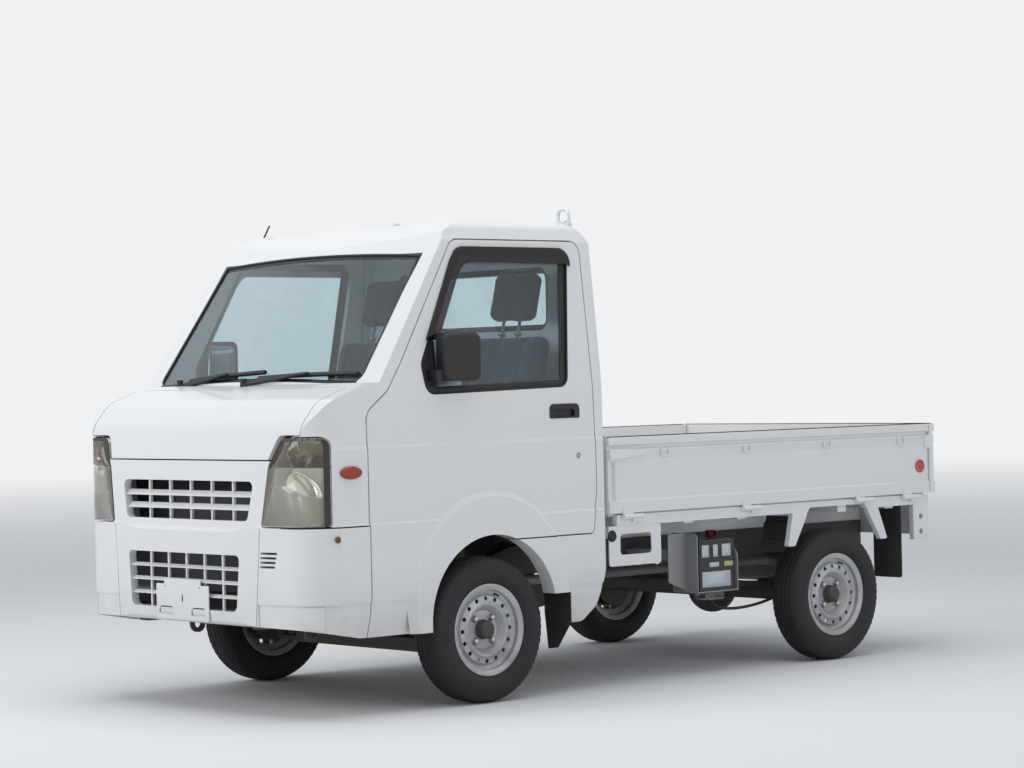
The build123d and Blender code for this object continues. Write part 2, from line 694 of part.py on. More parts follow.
# Doors, with the front of the wheel arch in their lower edge
HANDLE_IN_X = HALF_WIDTH - 33.0
HANDLE_WALL = 15.0
CUP_WALL = 4.0
handle_rows = at_axle([
    # y behind the front axle, z, corner radius
    (311, 1032, 6),
    (311, 1086, 20),
    (462, 1086, 20),
    (462, 1032, 6),
])
cup_rows = at_axle([
    (322, 1038, 6),
    (322, 1066, 12),
    (436, 1066, 12),
    (436, 1038, 6),
])
KEYHOLE_Y = FRONT_AXLE_Y + 449.0
KEYHOLE_Z = 891.0
KEYHOLE_R = 11.0
GLASS_INSET = 12.0
FRAME_WALL = 38.0
FACE_LOW_X = HALF_WIDTH - 23
FACE_HIGH_X = HALF_WIDTH - 82
FACE_HIGH_Z = DOOR_TOP_Z - 2


def face_x(z):
    """Half width of the door skin at a height above the waist."""
    return FACE_LOW_X + (FACE_HIGH_X - FACE_LOW_X) * (z - WAIST_Z) / (FACE_HIGH_Z - WAIST_Z)


def face_slab(side, low_z, high_z, near, far):
    """Slab that leans with the door skin, between two distances out from it."""
    rows = [
        (side * (face_x(low_z) + near), low_z, 0),
        (side * (face_x(low_z) + far), low_z, 0),
        (side * (face_x(high_z) + far), high_z, 0),
        (side * (face_x(high_z) + near), high_z, 0),
    ]
    return outline(Plane.XZ, rows)


door_body = door_face(0)
MIRROR_Y = FRONT_AXLE_Y - 148.0
MIRROR_Z = 1268.0
MIRROR_WIDTH = 177.0
MIRROR_HEIGHT = 175.0
MIRROR_DEPTH = 50.0
MIRROR_GAP = 14.0
VISOR_LOW_Z = 1330.0
VISOR_WALL = 9.0
VISOR_LAP = 8.0
VISOR_FRONT_BAND = 26.0
VISOR_TOP_BAND = 60.0
VISOR_REAR = 480.0

for side, name in ((1, "left"), (-1, "right")):
    with BuildPart() as door:
        add(cab_shell)
        add(door_body, mode=Mode.INTERSECT)
        with Locations((side * HALF_WIDTH, 0, CAB_TOP_Z / 2)):
            Box(2 * (HALF_WIDTH - PILLAR_SPLIT_X - SEAM), LENGTH, CAB_TOP_Z, mode=Mode.INTERSECT)
        with Locations((0, 0, SILL_Z + 40)):
            Box(2 * (HALF_WIDTH - SIDE_WALL - 28), LENGTH, 80, mode=Mode.SUBTRACT)
        frame_inside = face_slab(side, WAIST_Z + 20, DOOR_TOP_Z + 8, -200, -FRAME_WALL)
        extrude(frame_inside, amount=LENGTH, both=True, mode=Mode.SUBTRACT)
        extrude(outline(Plane.YZ, window_rows), amount=WIDTH, both=True, mode=Mode.SUBTRACT)
        handle_face = outline(Plane.YZ.offset(side * HANDLE_IN_X), handle_rows)
        extrude(handle_face, amount=side * WIDTH, mode=Mode.SUBTRACT)
        with BuildSketch(Plane(origin=(side * HANDLE_IN_X, KEYHOLE_Y, KEYHOLE_Z), z_dir=(side, 0, 0))):
            Circle(KEYHOLE_R)
        extrude(amount=WIDTH, mode=Mode.SUBTRACT)
    save(door, "door_" + name)

    with BuildPart() as handle:
        handle_back = Plane.YZ.offset(side * (HANDLE_IN_X + SEAT_GAP))
        extrude(grown(handle_rows, handle_back, -SEAT_GAP), amount=side * HANDLE_WALL)
        cup_face = outline(Plane.YZ.offset(side * (HANDLE_IN_X + CUP_WALL)), cup_rows)
        extrude(cup_face, amount=side * WIDTH, mode=Mode.SUBTRACT)
    save(handle, "door_handle_" + name)

    with BuildPart() as door_glass:
        glass_slab = face_slab(side, WAIST_Z - 30, DOOR_TOP_Z - 16, -GLASS_INSET - SCREEN_GLASS, -GLASS_INSET)
        extrude(glass_slab, amount=LENGTH, both=True)
        extrude(grown(window_rows, Plane.YZ, -SEAT_GAP), amount=WIDTH, both=True, mode=Mode.INTERSECT)
    save(door_glass, "door_glass_" + name)

    with BuildPart() as visor:
        extrude(face_slab(side, VISOR_LOW_Z, 1678, SEAT_GAP, VISOR_WALL), amount=LENGTH, both=True)
        extrude(grown(window_rows, Plane.YZ, VISOR_LAP), amount=WIDTH, both=True, mode=Mode.INTERSECT)
        lowered_rows = [(row[0] + VISOR_FRONT_BAND, row[1] - VISOR_TOP_BAND, row[2]) for row in window_rows]
        extrude(grown(lowered_rows, Plane.YZ, VISOR_LAP), amount=WIDTH, both=True, mode=Mode.SUBTRACT)
        with Locations((0, FRONT_AXLE_Y + VISOR_REAR / 2, WINDOW_TOP_Z - VISOR_TOP_BAND - LENGTH / 2)):
            Box(WIDTH * 2, VISOR_REAR, LENGTH, mode=Mode.SUBTRACT)
    save(visor, "visor_" + name)

    mirror_x = face_x(MIRROR_Z) + MIRROR_GAP + MIRROR_DEPTH / 2
    with BuildPart() as mirror:
        with Locations((side * mirror_x, MIRROR_Y, MIRROR_Z)):
            Box(MIRROR_DEPTH, MIRROR_WIDTH, MIRROR_HEIGHT)
        fillet(mirror.edges().filter_by(Axis.X), radius=28)
        fillet(mirror.faces().sort_by(Axis.X)[-1 if side > 0 else 0].edges(), radius=14)
        foot_out = mirror_x + 10
        foot_in = face_x(MIRROR_Z) - MIRROR_GAP
        foot_z = MIRROR_Z - MIRROR_HEIGHT / 2 + 22
        with Locations((side * (foot_out + foot_in) / 2, MIRROR_Y - MIRROR_WIDTH / 2, foot_z)):
            Box(foot_out - foot_in, 60, 40)
        extrude(
            face_slab(side, WAIST_Z, DOOR_TOP_Z, -100, SEAT_GAP - GLASS_INSET),
            amount=LENGTH, both=True, mode=Mode.SUBTRACT)
    save(mirror, "mirror_" + name)


# Cab floor: one bent sheet from the firewall down to the footwell, up and back under the seats
FLOOR_WALL = 18.0
FLOOR_HALF = 632.0
FOOT_Z = 430.0
PLATFORM_Z = 640.0
RISER_Y = FRONT_AXLE_Y - 350.0
FIREWALL_Y = FRONT_AXLE_Y - 581.0
CAB_REAR_IN_Y = CAB_BACK_Y - FRONT_WALL
PLATFORM_TOP_Z = PLATFORM_Z + FLOOR_WALL / 2
PLATFORM_UNDER_Z = PLATFORM_Z - FLOOR_WALL / 2

with BuildPart() as cab_floor:
    with BuildSketch(Plane.YZ):
        with BuildLine():
            Polyline(
                (FIREWALL_Y, COWL_Z - 42),
                (FIREWALL_Y, 900),
                (FRONT_AXLE_Y - 650, 790),
                (FRONT_AXLE_Y - 690, 560),
                (FRONT_AXLE_Y - 640, FOOT_Z),
                (RISER_Y, FOOT_Z),
                (RISER_Y, PLATFORM_Z),
                (CAB_REAR_IN_Y - SEAT_GAP, PLATFORM_Z))
        trace(line_width=FLOOR_WALL)
    extrude(amount=FLOOR_HALF, both=True)
    extrude(
        plan_section(FRONT_WALL + SEAM, SIDE_WALL + SEAM, FRONT_WALL + SEAT_GAP),
        amount=CAB_TOP_Z, both=True, mode=Mode.INTERSECT)
save(cab_floor, "cab_floor")

# Dashboard across the cab, against the firewall
DASH_FRONT_Y = FIREWALL_Y + FLOOR_WALL / 2 + SEAT_GAP
DASH_HALF = 636.0
METER_X = -370.0
METER_HALF = 150.0
with BuildPart() as dashboard:
    extrude(outline(Plane.YZ, [
        # y, z, corner radius
        (DASH_FRONT_Y, 905, 0),
        (DASH_FRONT_Y + 130, 880, 30),
        (DASH_FRONT_Y + 165, 960, 30),
        (DASH_FRONT_Y + 150, 1085, 25),
        (DASH_FRONT_Y + 60, 1130, 40),
        (DASH_FRONT_Y, 1135, 0),
    ]), amount=DASH_HALF, both=True)
    extrude(outline(Plane.YZ.offset(METER_X), [
        # y, z, corner radius
        (DASH_FRONT_Y + 40, 1120, 0),
        (DASH_FRONT_Y + 50, 1158, 8),
        (DASH_FRONT_Y + 72, 1176, 12),
        (DASH_FRONT_Y + 124, 1172, 5),
        (DASH_FRONT_Y + 110, 1100, 0),
    ]), amount=METER_HALF, both=True)
save(dashboard, "dashboard")

# Steering wheel on its column, on the right-hand side
STEER_X = METER_X
STEER_Y = FRONT_AXLE_Y - 270.0
STEER_Z = 1050.0
STEER_R = 182.0
STEER_RIM = 13.0
STEER_TILT = 50.0
column_up = Vector(0, math.cos(math.radians(STEER_TILT)), math.sin(math.radians(STEER_TILT)))
steer_plane = Plane(origin=(STEER_X, STEER_Y, STEER_Z), x_dir=(1, 0, 0), z_dir=column_up)
COLUMN_R = 28.0
HUB_DROP = 70.0
COLUMN_REACH = 640.0

with BuildPart() as column_bar:
    with BuildSketch(steer_plane.offset(-HUB_DROP)):
        Circle(COLUMN_R)
    extrude(amount=-COLUMN_REACH)
    add(dashboard.part.moved(Location((0, SEAT_GAP, -SEAT_GAP))), mode=Mode.SUBTRACT)
    add(cab_floor.part.moved(Location((0, SEAT_GAP, SEAT_GAP))), mode=Mode.SUBTRACT)

with BuildPart() as steering_column:
    add(column_bar.solids().sort_by(Axis.Z)[-1])
save(steering_column, "steering_column")

with BuildPart() as steering_wheel:
    with BuildSketch(Plane(origin=steer_plane.origin, x_dir=column_up, z_dir=(1, 0, 0))):
        with Locations((0, STEER_R)):
            Circle(STEER_RIM)
    revolve(axis=Axis(steer_plane.origin, column_up))
    with BuildSketch(steer_plane.offset(-HUB_DROP + PIN_GAP)):
        Circle(COLUMN_R + 4)
    extrude(amount=HUB_DROP + 4)
    with BuildSketch(steer_plane.offset(-18)):
        Circle(62)
        for turn in (0, 55, 125, 180):
            with Locations(Location((0, 0, 0), (0, 0, turn))):
                with Locations((STEER_R / 2, 0)):
                    Rectangle(STEER_R, 30)
    extrude(amount=16)
save(steering_wheel, "steering_wheel")

# Three pedals on the toe board, the gear lever and the handbrake between the seats
PEDAL_TABLE = [
    # x, pad width, pad height, height from the ground
    (-290.0, 52.0, 62.0, 600.0),
    (-442.0, 60.0, 56.0, 600.0),
    (-522.0, 42.0, 110.0, 570.0),
]
PEDAL_Y = FRONT_AXLE_Y - 652.0
PEDAL_TILT = 10.0
LEVER_Y = FRONT_AXLE_Y - 320.0
with BuildPart() as controls:
    for x, pad_width, pad_height, z in PEDAL_TABLE:
        with Locations(Location((x, PEDAL_Y, z), (PEDAL_TILT, 0, 0))):
            Box(pad_width, 10, pad_height)
        with Locations(Location((x, PEDAL_Y - 14, z + 10), (PEDAL_TILT, 0, 0))):
            Box(14, 28, 14)
    with Locations((0, LEVER_Y, PLATFORM_TOP_Z + SEAT_GAP + 130)):
        Cylinder(7, 260)
    with Locations((0, LEVER_Y, PLATFORM_TOP_Z + SEAT_GAP + 262)):
        Sphere(24)
    with Locations((0, LEVER_Y, PLATFORM_TOP_Z + SEAT_GAP + 22)):
        Cone(48, 14, 44)
    with Locations((0, LEVER_Y + 330, PLATFORM_TOP_Z + SEAT_GAP + 30)):
        Box(44, 90, 60)
    with Locations(Location((0, LEVER_Y + 250, PLATFORM_TOP_Z + 74), (-8, 0, 0))):
        Box(26, 230, 26)
    add(cab_floor.part, mode=Mode.SUBTRACT)
    add(cab_floor.part.moved(Location((0, SEAT_GAP, 0))), mode=Mode.SUBTRACT)
save(controls, "controls")

# Seats: a cushion, a back and a headrest for two
SEAT_X = 390.0
SEAT_WIDTH = 470.0
CUSHION_FRONT_Y = FRONT_AXLE_Y - 90.0
CUSHION_LENGTH = 425.0
CUSHION_HEIGHT = 190.0
BACK_LEAN = 14.0
BACK_HEIGHT = 650.0
BACK_DEPTH = 100.0
BACK_FOOT_Y = FRONT_AXLE_Y + 305.0
HEADREST_WIDTH = 247.0
HEADREST_HEIGHT = 205.0
HEADREST_DEPTH = 90.0
cushion_z = PLATFORM_TOP_Z + SEAT_GAP
back_plane = Plane(
    origin=(0, BACK_FOOT_Y, cushion_z + 60),
    x_dir=(1, 0, 0),
    z_dir=(0, math.sin(math.radians(BACK_LEAN)), math.cos(math.radians(BACK_LEAN))))

with BuildPart() as seat_cushions:
    for side in (1, -1):
        with Locations((side * SEAT_X, CUSHION_FRONT_Y + CUSHION_LENGTH / 2, cushion_z + CUSHION_HEIGHT / 2)):
            Box(SEAT_WIDTH, CUSHION_LENGTH, CUSHION_HEIGHT)
    fillet(seat_cushions.edges().filter_by(Axis.Z), radius=50)
    fillet(seat_cushions.faces().filter_by(Axis.Z).group_by(Axis.Z)[-1].edges(), radius=35)
save(seat_cushions, "seat_cushions")

with BuildPart() as seat_backs:
    with BuildSketch(back_plane):
        for side in (1, -1):
            with Locations((side * SEAT_X, -BACK_DEPTH / 2)):
                RectangleRounded(SEAT_WIDTH, BACK_DEPTH, 35)
    extrude(amount=BACK_HEIGHT)
    for side in (1, -1):
        with Locations((side * SEAT_X, CUSHION_FRONT_Y + CUSHION_LENGTH / 2, cushion_z + CUSHION_HEIGHT / 2)):
            Box(
                SEAT_WIDTH * 1.1, CUSHION_LENGTH + 2 * SEAT_GAP, CUSHION_HEIGHT + 2 * SEAT_GAP,
                mode=Mode.SUBTRACT)
save(seat_backs, "seat_backs")

with BuildPart() as headrests:
    with BuildSketch(back_plane.offset(BACK_HEIGHT + 45)):
        for side in (1, -1):
            with Locations((side * SEAT_X, -BACK_DEPTH / 2)):
                RectangleRounded(HEADREST_WIDTH, HEADREST_DEPTH, 30)
    extrude(amount=HEADREST_HEIGHT)
    with BuildSketch(back_plane.offset(BACK_HEIGHT + SEAT_GAP)):
        for side in (1, -1):
            with Locations((side * SEAT_X - 45, -BACK_DEPTH / 2), (side * SEAT_X + 45, -BACK_DEPTH / 2)):
                Circle(6)
    extrude(amount=60)
save(headrests, "headrests")

# Ladder frame: low under the cab, higher under the bed
RAIL_FRONT_Y = NOSE_Y + 75.0
FRONT_DROP = FOOT_Z - FLOOR_WALL / 2 - SEAT_GAP - RAIL_HEIGHT
FRAME_BACK_Y = TAIL_Y - 90.0
rail_rows = [
    (RAIL_FRONT_Y, FRONT_DROP, 0),
    (FRONT_AXLE_Y + 70, FRONT_DROP, 100),
    (FRONT_AXLE_Y + 420, RAIL_BOTTOM_Z, 100),
    (FRAME_BACK_Y, RAIL_BOTTOM_Z, 0),
    (FRAME_BACK_Y, RAIL_TOP_Z, 0),
    (FRONT_AXLE_Y + 400, RAIL_TOP_Z, 100),
    (FRONT_AXLE_Y + 50, FRONT_DROP + RAIL_HEIGHT, 100),
    (RAIL_FRONT_Y, FRONT_DROP + RAIL_HEIGHT, 0),
]
CROSS_SIZE = 60.0
CROSS_SHARES = (0.23, 0.41, 0.64, 0.88)
BRACKET_HEIGHT = 26.0
TOW_Y = FRONT_AXLE_Y - 565.0
TOW_R = 32.0
TOW_WALL = 14.0
BRACKET_Z = FRONT_DROP + RAIL_HEIGHT - 8 - BRACKET_HEIGHT / 2

with BuildPart() as bumper_brackets:
    with Locations((RAIL_X, RAIL_FRONT_Y, BRACKET_Z), (-RAIL_X, RAIL_FRONT_Y, BRACKET_Z)):
        Box(RAIL_WIDTH - 10, 120, BRACKET_HEIGHT)
    add(cab_inner.part.moved(Location((0, SEAT_GAP, 0))), mode=Mode.INTERSECT)

with BuildPart() as frame_rails:
    for side in (1, -1):
        extrude(
            outline(Plane.YZ.offset(side * RAIL_X - RAIL_WIDTH / 2), rail_rows), amount=RAIL_WIDTH)
    add(bumper_brackets.part)
    for side in (1, -1):
        with BuildSketch(Plane.YZ.offset(side * RAIL_X + RAIL_WIDTH / 2 - TOW_WALL)):
            with Locations((TOW_Y, FRONT_DROP - TOW_R + 4)):
                Circle(TOW_R)
                Circle(TOW_R / 2, mode=Mode.SUBTRACT)
        extrude(amount=TOW_WALL)
save(frame_rails, "frame_rails")

CROSS_LENGTH = 2 * RAIL_X - RAIL_WIDTH
with BuildPart() as cross_members:
    for share in CROSS_SHARES:
        station = FRONT_AXLE_Y + share * (FRAME_BACK_Y - FRONT_AXLE_Y)
        with Locations((0, station, RAIL_BOTTOM_Z + CROSS_SIZE / 2)):
            Box(CROSS_LENGTH, CROSS_SIZE, CROSS_SIZE)
    with Locations((0, RAIL_FRONT_Y + 90, FRONT_DROP + CROSS_SIZE / 2)):
        Box(CROSS_LENGTH, CROSS_SIZE, CROSS_SIZE)
    with Locations((0, FRAME_BACK_Y - CROSS_SIZE / 2, RAIL_BOTTOM_Z + CROSS_SIZE / 2)):
        Box(CROSS_LENGTH, CROSS_SIZE, CROSS_SIZE)
save(cross_members, "cross_members")

# Suspension cradle with its two lower arms, and a strut above each knuckle
KINGPIN_X = 540.0
KNUCKLE_LOW_Z = 190.0
KNUCKLE_TOP_Z = 350.0
ARM_WALL = 18.0
ARM_Z = KNUCKLE_LOW_Z - ARM_WALL - PIN_GAP
CRADLE_HEIGHT = 50.0
STRUT_R = 22.0
SPRING_R = 45.0
with BuildPart() as front_suspension:
    with Locations((0, FRONT_AXLE_Y, ARM_Z + CRADLE_HEIGHT / 2)):
        Box(2 * RAIL_X + RAIL_WIDTH, 110, CRADLE_HEIGHT)
    for x in (-RAIL_X, 0, RAIL_X):
        with Locations((x, FRONT_AXLE_Y, (ARM_Z + CRADLE_HEIGHT / 2 + FRONT_DROP - SEAT_GAP) / 2)):
            Box(RAIL_WIDTH, 80, FRONT_DROP - SEAT_GAP - ARM_Z - CRADLE_HEIGHT / 2)
    with BuildSketch(Plane.XY.offset(ARM_Z)):
        for side in (1, -1):
            with Locations((side * (RAIL_X + KINGPIN_X) / 2, FRONT_AXLE_Y)):
                Rectangle(KINGPIN_X - RAIL_X, 44)
            with Locations((side * KINGPIN_X, FRONT_AXLE_Y)):
                Circle(26)
    extrude(amount=ARM_WALL)
save(front_suspension, "front_suspension")

with BuildPart() as struts:
    with BuildSketch(Plane.XY.offset(KNUCKLE_TOP_Z + PIN_GAP)):
        with Locations((KINGPIN_X, FRONT_AXLE_Y), (-KINGPIN_X, FRONT_AXLE_Y)):
            Circle(STRUT_R)
    extrude(amount=PLATFORM_UNDER_Z - SEAT_GAP - KNUCKLE_TOP_Z - PIN_GAP)
    with BuildSketch(Plane.XY.offset(PLATFORM_UNDER_Z - 60)):
        with Locations((KINGPIN_X, FRONT_AXLE_Y), (-KINGPIN_X, FRONT_AXLE_Y)):
            Circle(SPRING_R)
    extrude(amount=60 - SEAT_GAP)
save(struts, "struts")

# Engine: one plain block on the cradle, between the rails
ENGINE_WIDTH = 440.0
ENGINE_LENGTH = 560.0
ENGINE_HEIGHT = 300.0
ENGINE_BACK_Y = FRONT_AXLE_Y + 470.0
GEARBOX_BACK_Y = ENGINE_BACK_Y + 480.0
GEARBOX_R = 105.0
GEARBOX_Z = RAIL_BOTTOM_Z - GEARBOX_R - SEAM
with BuildPart() as engine:
    with Locations((0, ENGINE_BACK_Y - ENGINE_LENGTH / 2, FRONT_DROP + ENGINE_HEIGHT / 2)):
        Box(ENGINE_WIDTH, ENGINE_LENGTH, ENGINE_HEIGHT)
    with BuildSketch(Plane(origin=(0, ENGINE_BACK_Y - 1, GEARBOX_Z), z_dir=(0, 1, 0))):
        RectangleRounded(2 * GEARBOX_R, 2 * GEARBOX_R, 50)
    with BuildSketch(Plane(origin=(0, GEARBOX_BACK_Y, GEARBOX_Z), z_dir=(0, 1, 0))):
        RectangleRounded(GEARBOX_R, GEARBOX_R, 30)
    loft()
save(engine, "engine")

# Rear axle with its drums, final drive, propeller shaft and leaf springs
LEAF_WIDTH = 50.0
LEAF_DEPTH = 24.0
LEAF_REACH = 480.0
LEAF_CAMBER = 72.0
LEAF_Z = AXLE_Z + 45.0
DRUM_R = 106.0
HUB_FACE = 15.0
HUB_R = 62.0


def axle_hub(side, y):
    """Turned drum, flange and pilot on one side, as one solid."""
    x = HALF_TRACK
    with BuildPart() as hub:
        with BuildSketch(Plane(origin=(0, y, AXLE_Z), x_dir=(1, 0, 0), z_dir=(0, -1, 0))):
            with BuildLine():
                Polyline(
                    (side * (x - 46), 0),
                    (side * (x - 46), DRUM_R),
                    (side * (x - 8), DRUM_R),
                    (side * (x - 4), HUB_R),
                    (side * (x + HUB_FACE - SEAT_GAP), HUB_R),
                    (side * (x + HUB_FACE - SEAT_GAP), WHEEL_BORE_R - SEAT_GAP),
                    (side * (x + HUB_FACE + 22), WHEEL_BORE_R - SEAT_GAP),
                    (side * (x + HUB_FACE + 30), WHEEL_BORE_R - 10),
                    (side * (x + HUB_FACE + 30), 0),
                    (side * (x - 46), 0))
            make_face()
        revolve(axis=Axis((0, y, AXLE_Z), (1, 0, 0)))
    return hub.part


with BuildPart() as rear_axle:
    for side in (1, -1):
        add(axle_hub(side, REAR_AXLE_Y))
    with BuildSketch(Plane(origin=(0, REAR_AXLE_Y, AXLE_Z), z_dir=(1, 0, 0))):
        Circle(36)
    extrude(amount=HALF_TRACK - 40, both=True)
    with Locations((0, REAR_AXLE_Y, AXLE_Z)):
        Sphere(105)
    with BuildSketch(Plane(origin=(0, REAR_AXLE_Y, AXLE_Z + 20), z_dir=(0, -1, 0.08))):
        Circle(28)
    extrude(amount=WHEELBASE)
    with Locations((0, GEARBOX_BACK_Y + SEAT_GAP - WHEELBASE / 2, AXLE_Z)):
        Box(WIDTH, WHEELBASE, WIDTH, mode=Mode.SUBTRACT)
    for side in (1, -1):
        spring_at = (side * RAIL_X - LEAF_WIDTH / 2, REAR_AXLE_Y, LEAF_Z)
        end_z = LEAF_CAMBER - LEAF_DEPTH / 2
        with BuildSketch(Plane(origin=spring_at, x_dir=(0, 1, 0), z_dir=(1, 0, 0))):
            with BuildLine():
                ThreePointArc((-LEAF_REACH, LEAF_CAMBER), (0, 0), (LEAF_REACH, LEAF_CAMBER))
                Line((LEAF_REACH, LEAF_CAMBER), (LEAF_REACH, end_z))
                ThreePointArc((LEAF_REACH, end_z), (0, -LEAF_DEPTH), (-LEAF_REACH, end_z))
                Line((-LEAF_REACH, end_z), (-LEAF_REACH, LEAF_CAMBER))
            make_face()
        extrude(amount=LEAF_WIDTH)
        with Locations((side * RAIL_X, REAR_AXLE_Y, LEAF_Z - 10)):
            Box(LEAF_WIDTH + 16, 110, 40)
        for end in (-1, 1):
            shackle_y = REAR_AXLE_Y + end * (LEAF_REACH - 16)
            with Locations((side * RAIL_X, shackle_y, (LEAF_Z + 60 + RAIL_BOTTOM_Z) / 2)):
                Box(LEAF_WIDTH, 24, RAIL_BOTTOM_Z - LEAF_Z - 60 - 2 * SEAT_GAP)
save(rear_axle, "rear_axle")

# Fuel tank under the right rail, with two straps
TANK_OUT_X = -620.0
TANK_IN_X = -325.0
TANK_FRONT_Y = FRONT_AXLE_Y + 650.0
TANK_LENGTH = 520.0
TANK_LOW_Z = 245.0
TANK_TOP_Z = RAIL_BOTTOM_Z - SEAT_GAP
with BuildPart() as fuel_tank:
    with Locations((
            (TANK_OUT_X + TANK_IN_X) / 2, TANK_FRONT_Y + TANK_LENGTH / 2, (TANK_LOW_Z + TANK_TOP_Z) / 2)):
        Box(TANK_IN_X - TANK_OUT_X, TANK_LENGTH, TANK_TOP_Z - TANK_LOW_Z)
    fillet(fuel_tank.edges().filter_by(Axis.Y), radius=34)
    for share in (0.22, 0.78):
        with BuildSketch(Plane.XZ.offset(-(TANK_FRONT_Y + share * TANK_LENGTH) - 15)):
            with Locations(((TANK_OUT_X + TANK_IN_X) / 2, (TANK_LOW_Z + TANK_TOP_Z - 3) / 2)):
                RectangleRounded(TANK_IN_X - TANK_OUT_X + 6, TANK_TOP_Z - TANK_LOW_Z + 3, 36)
        extrude(amount=30)
save(fuel_tank, "fuel_tank")

# Exhaust: a pipe past the gearbox and over the axle, a silencer hung from a cross member, a tail pipe
PIPE_X = 170.0
PIPE_R = 19.0
PIPE_Z = 385.0
SILENCER_X = 60.0
SILENCER_R = 68.0
SILENCER_LENGTH = 380.0
SILENCER_Y = FRAME_BACK_Y - 255.0
SILENCER_Z = 350.0
with BuildPart() as exhaust:
    with BuildLine() as pipe_path:
        FilletPolyline(
            (PIPE_X, ENGINE_BACK_Y + SEAT_GAP, PIPE_Z),
            (PIPE_X, SILENCER_Y - 150, PIPE_Z),
            (PIPE_X, SILENCER_Y, SILENCER_Z + 10),
            radius=60)
    with BuildSketch(Plane(origin=pipe_path.line @ 0, z_dir=pipe_path.line % 0)):
        Circle(PIPE_R)
    sweep(path=pipe_path.line)
    with BuildSketch(Plane.YZ.offset(SILENCER_X)):
        with Locations((SILENCER_Y, SILENCER_Z)):
            Circle(SILENCER_R)
    extrude(amount=SILENCER_LENGTH / 2, both=True)
    with BuildSketch(Plane(origin=(SILENCER_X + 100, SILENCER_Y, SILENCER_Z - 10), z_dir=(0, 1, 0))):
        Circle(PIPE_R - 2)
    extrude(amount=FRAME_BACK_Y + 40 - SILENCER_Y)
    hanger_y = FRONT_AXLE_Y + CROSS_SHARES[-1] * (FRAME_BACK_Y - FRONT_AXLE_Y)
    with Locations((SILENCER_X, hanger_y, (SILENCER_Z + RAIL_BOTTOM_Z - SEAT_GAP) / 2)):
        Box(30, 30, RAIL_BOTTOM_Z - SEAT_GAP - SILENCER_Z)
save(exhaust, "exhaust")

# Steering knuckles with their hubs
for side, name in ((1, "left"), (-1, "right")):
    with BuildPart() as knuckle:
        add(axle_hub(side, FRONT_AXLE_Y))
        with BuildSketch(Plane.XY.offset(KNUCKLE_LOW_Z)):
            with Locations((side * KINGPIN_X, FRONT_AXLE_Y)):
                Circle(24)
        extrude(amount=KNUCKLE_TOP_Z - KNUCKLE_LOW_Z)
        with BuildSketch(Plane(origin=(side * KINGPIN_X, FRONT_AXLE_Y, AXLE_Z), z_dir=(side, 0, 0))):
            Circle(30)
        extrude(amount=HALF_TRACK - KINGPIN_X - 40)
    save(knuckle, "knuckle_" + name)


def wheel_solid(rows, x, y, side):
    """Turned solid about a wheel's axle from rows of (outward station, radius)."""
    with BuildPart() as turned:
        with BuildSketch(Plane(origin=(x, y, AXLE_Z), x_dir=(1, 0, 0), z_dir=(0, -1, 0))):
            with BuildLine():
                Polyline(*[(side * row[0], row[1]) for row in rows], close=True)
            make_face()
        revolve(axis=Axis((x, y, AXLE_Z), (1, 0, 0)))
    return turned.part


HALF_RIM = RIM_WIDTH / 2
HALF_BASE = HALF_RIM - 8.0
rim_rows = [
    (-HALF_RIM, RIM_R),
    (-HALF_RIM + RIM_WALL, RIM_R),
    (-HALF_BASE + 3, BEAD_R),
    (-HALF_BASE + 22, BEAD_R - 3),
    (-HALF_BASE + 30, BEAD_R - 24),
    (22, BEAD_R - 24),
    (30, BEAD_R - 3),
    (HALF_BASE - 3, BEAD_R),
    (HALF_RIM - RIM_WALL, RIM_R),
    (HALF_RIM, RIM_R),
    (HALF_RIM, RIM_R - RIM_WALL),
    (HALF_BASE + 1, BEAD_R - RIM_WALL),
    (HALF_BASE - 14, BEAD_R - RIM_WALL - 2),
    (29, 132),
    (40, 124),
    (42, 106),
    (47, 98),
    (44, 90),
    (HUB_FACE + RIM_WALL, 70),
    (HUB_FACE + RIM_WALL, WHEEL_BORE_R),
    (HUB_FACE, WHEEL_BORE_R),
    (HUB_FACE, 74),
    (38, 92),
    (41, 98),
    (37, 106),
    (34, 122),
    (22, BEAD_R - 24 - RIM_WALL),
    (-HALF_BASE + 27, BEAD_R - 24 - RIM_WALL),
    (-HALF_BASE + 18, BEAD_R - 3 - RIM_WALL),
    (-HALF_BASE - 1, BEAD_R - RIM_WALL),
    (-HALF_RIM, RIM_R - RIM_WALL),
]
HALF_TYRE = TYRE_WIDTH / 2
HALF_TREAD = 52.0
tyre_rows = [
    (-HALF_BASE + 4, BEAD_R + 0.5),
    (-HALF_RIM + RIM_WALL + 0.6, RIM_R + 0.7),
    (-HALF_RIM, RIM_R + 4),
    (-HALF_TYRE, 198),
    (-HALF_TYRE, 216),
    (-HALF_TYRE + 7, 245),
    (-HALF_TREAD, 262),
    (-HALF_TREAD + 14, TYRE_R),
    (HALF_TREAD - 14, TYRE_R),
    (HALF_TREAD, 262),
    (HALF_TYRE - 7, 245),
    (HALF_TYRE, 216),
    (HALF_TYRE, 198),
    (HALF_RIM, RIM_R + 4),
    (HALF_RIM - RIM_WALL - 0.6, RIM_R + 0.7),
    (HALF_BASE - 4, BEAD_R + 0.5),
]
wheel_table = [
    # name, side, axle station
    ("front_left", 1, FRONT_AXLE_Y),
    ("front_right", -1, FRONT_AXLE_Y),
    ("rear_left", 1, REAR_AXLE_Y),
    ("rear_right", -1, REAR_AXLE_Y),
]
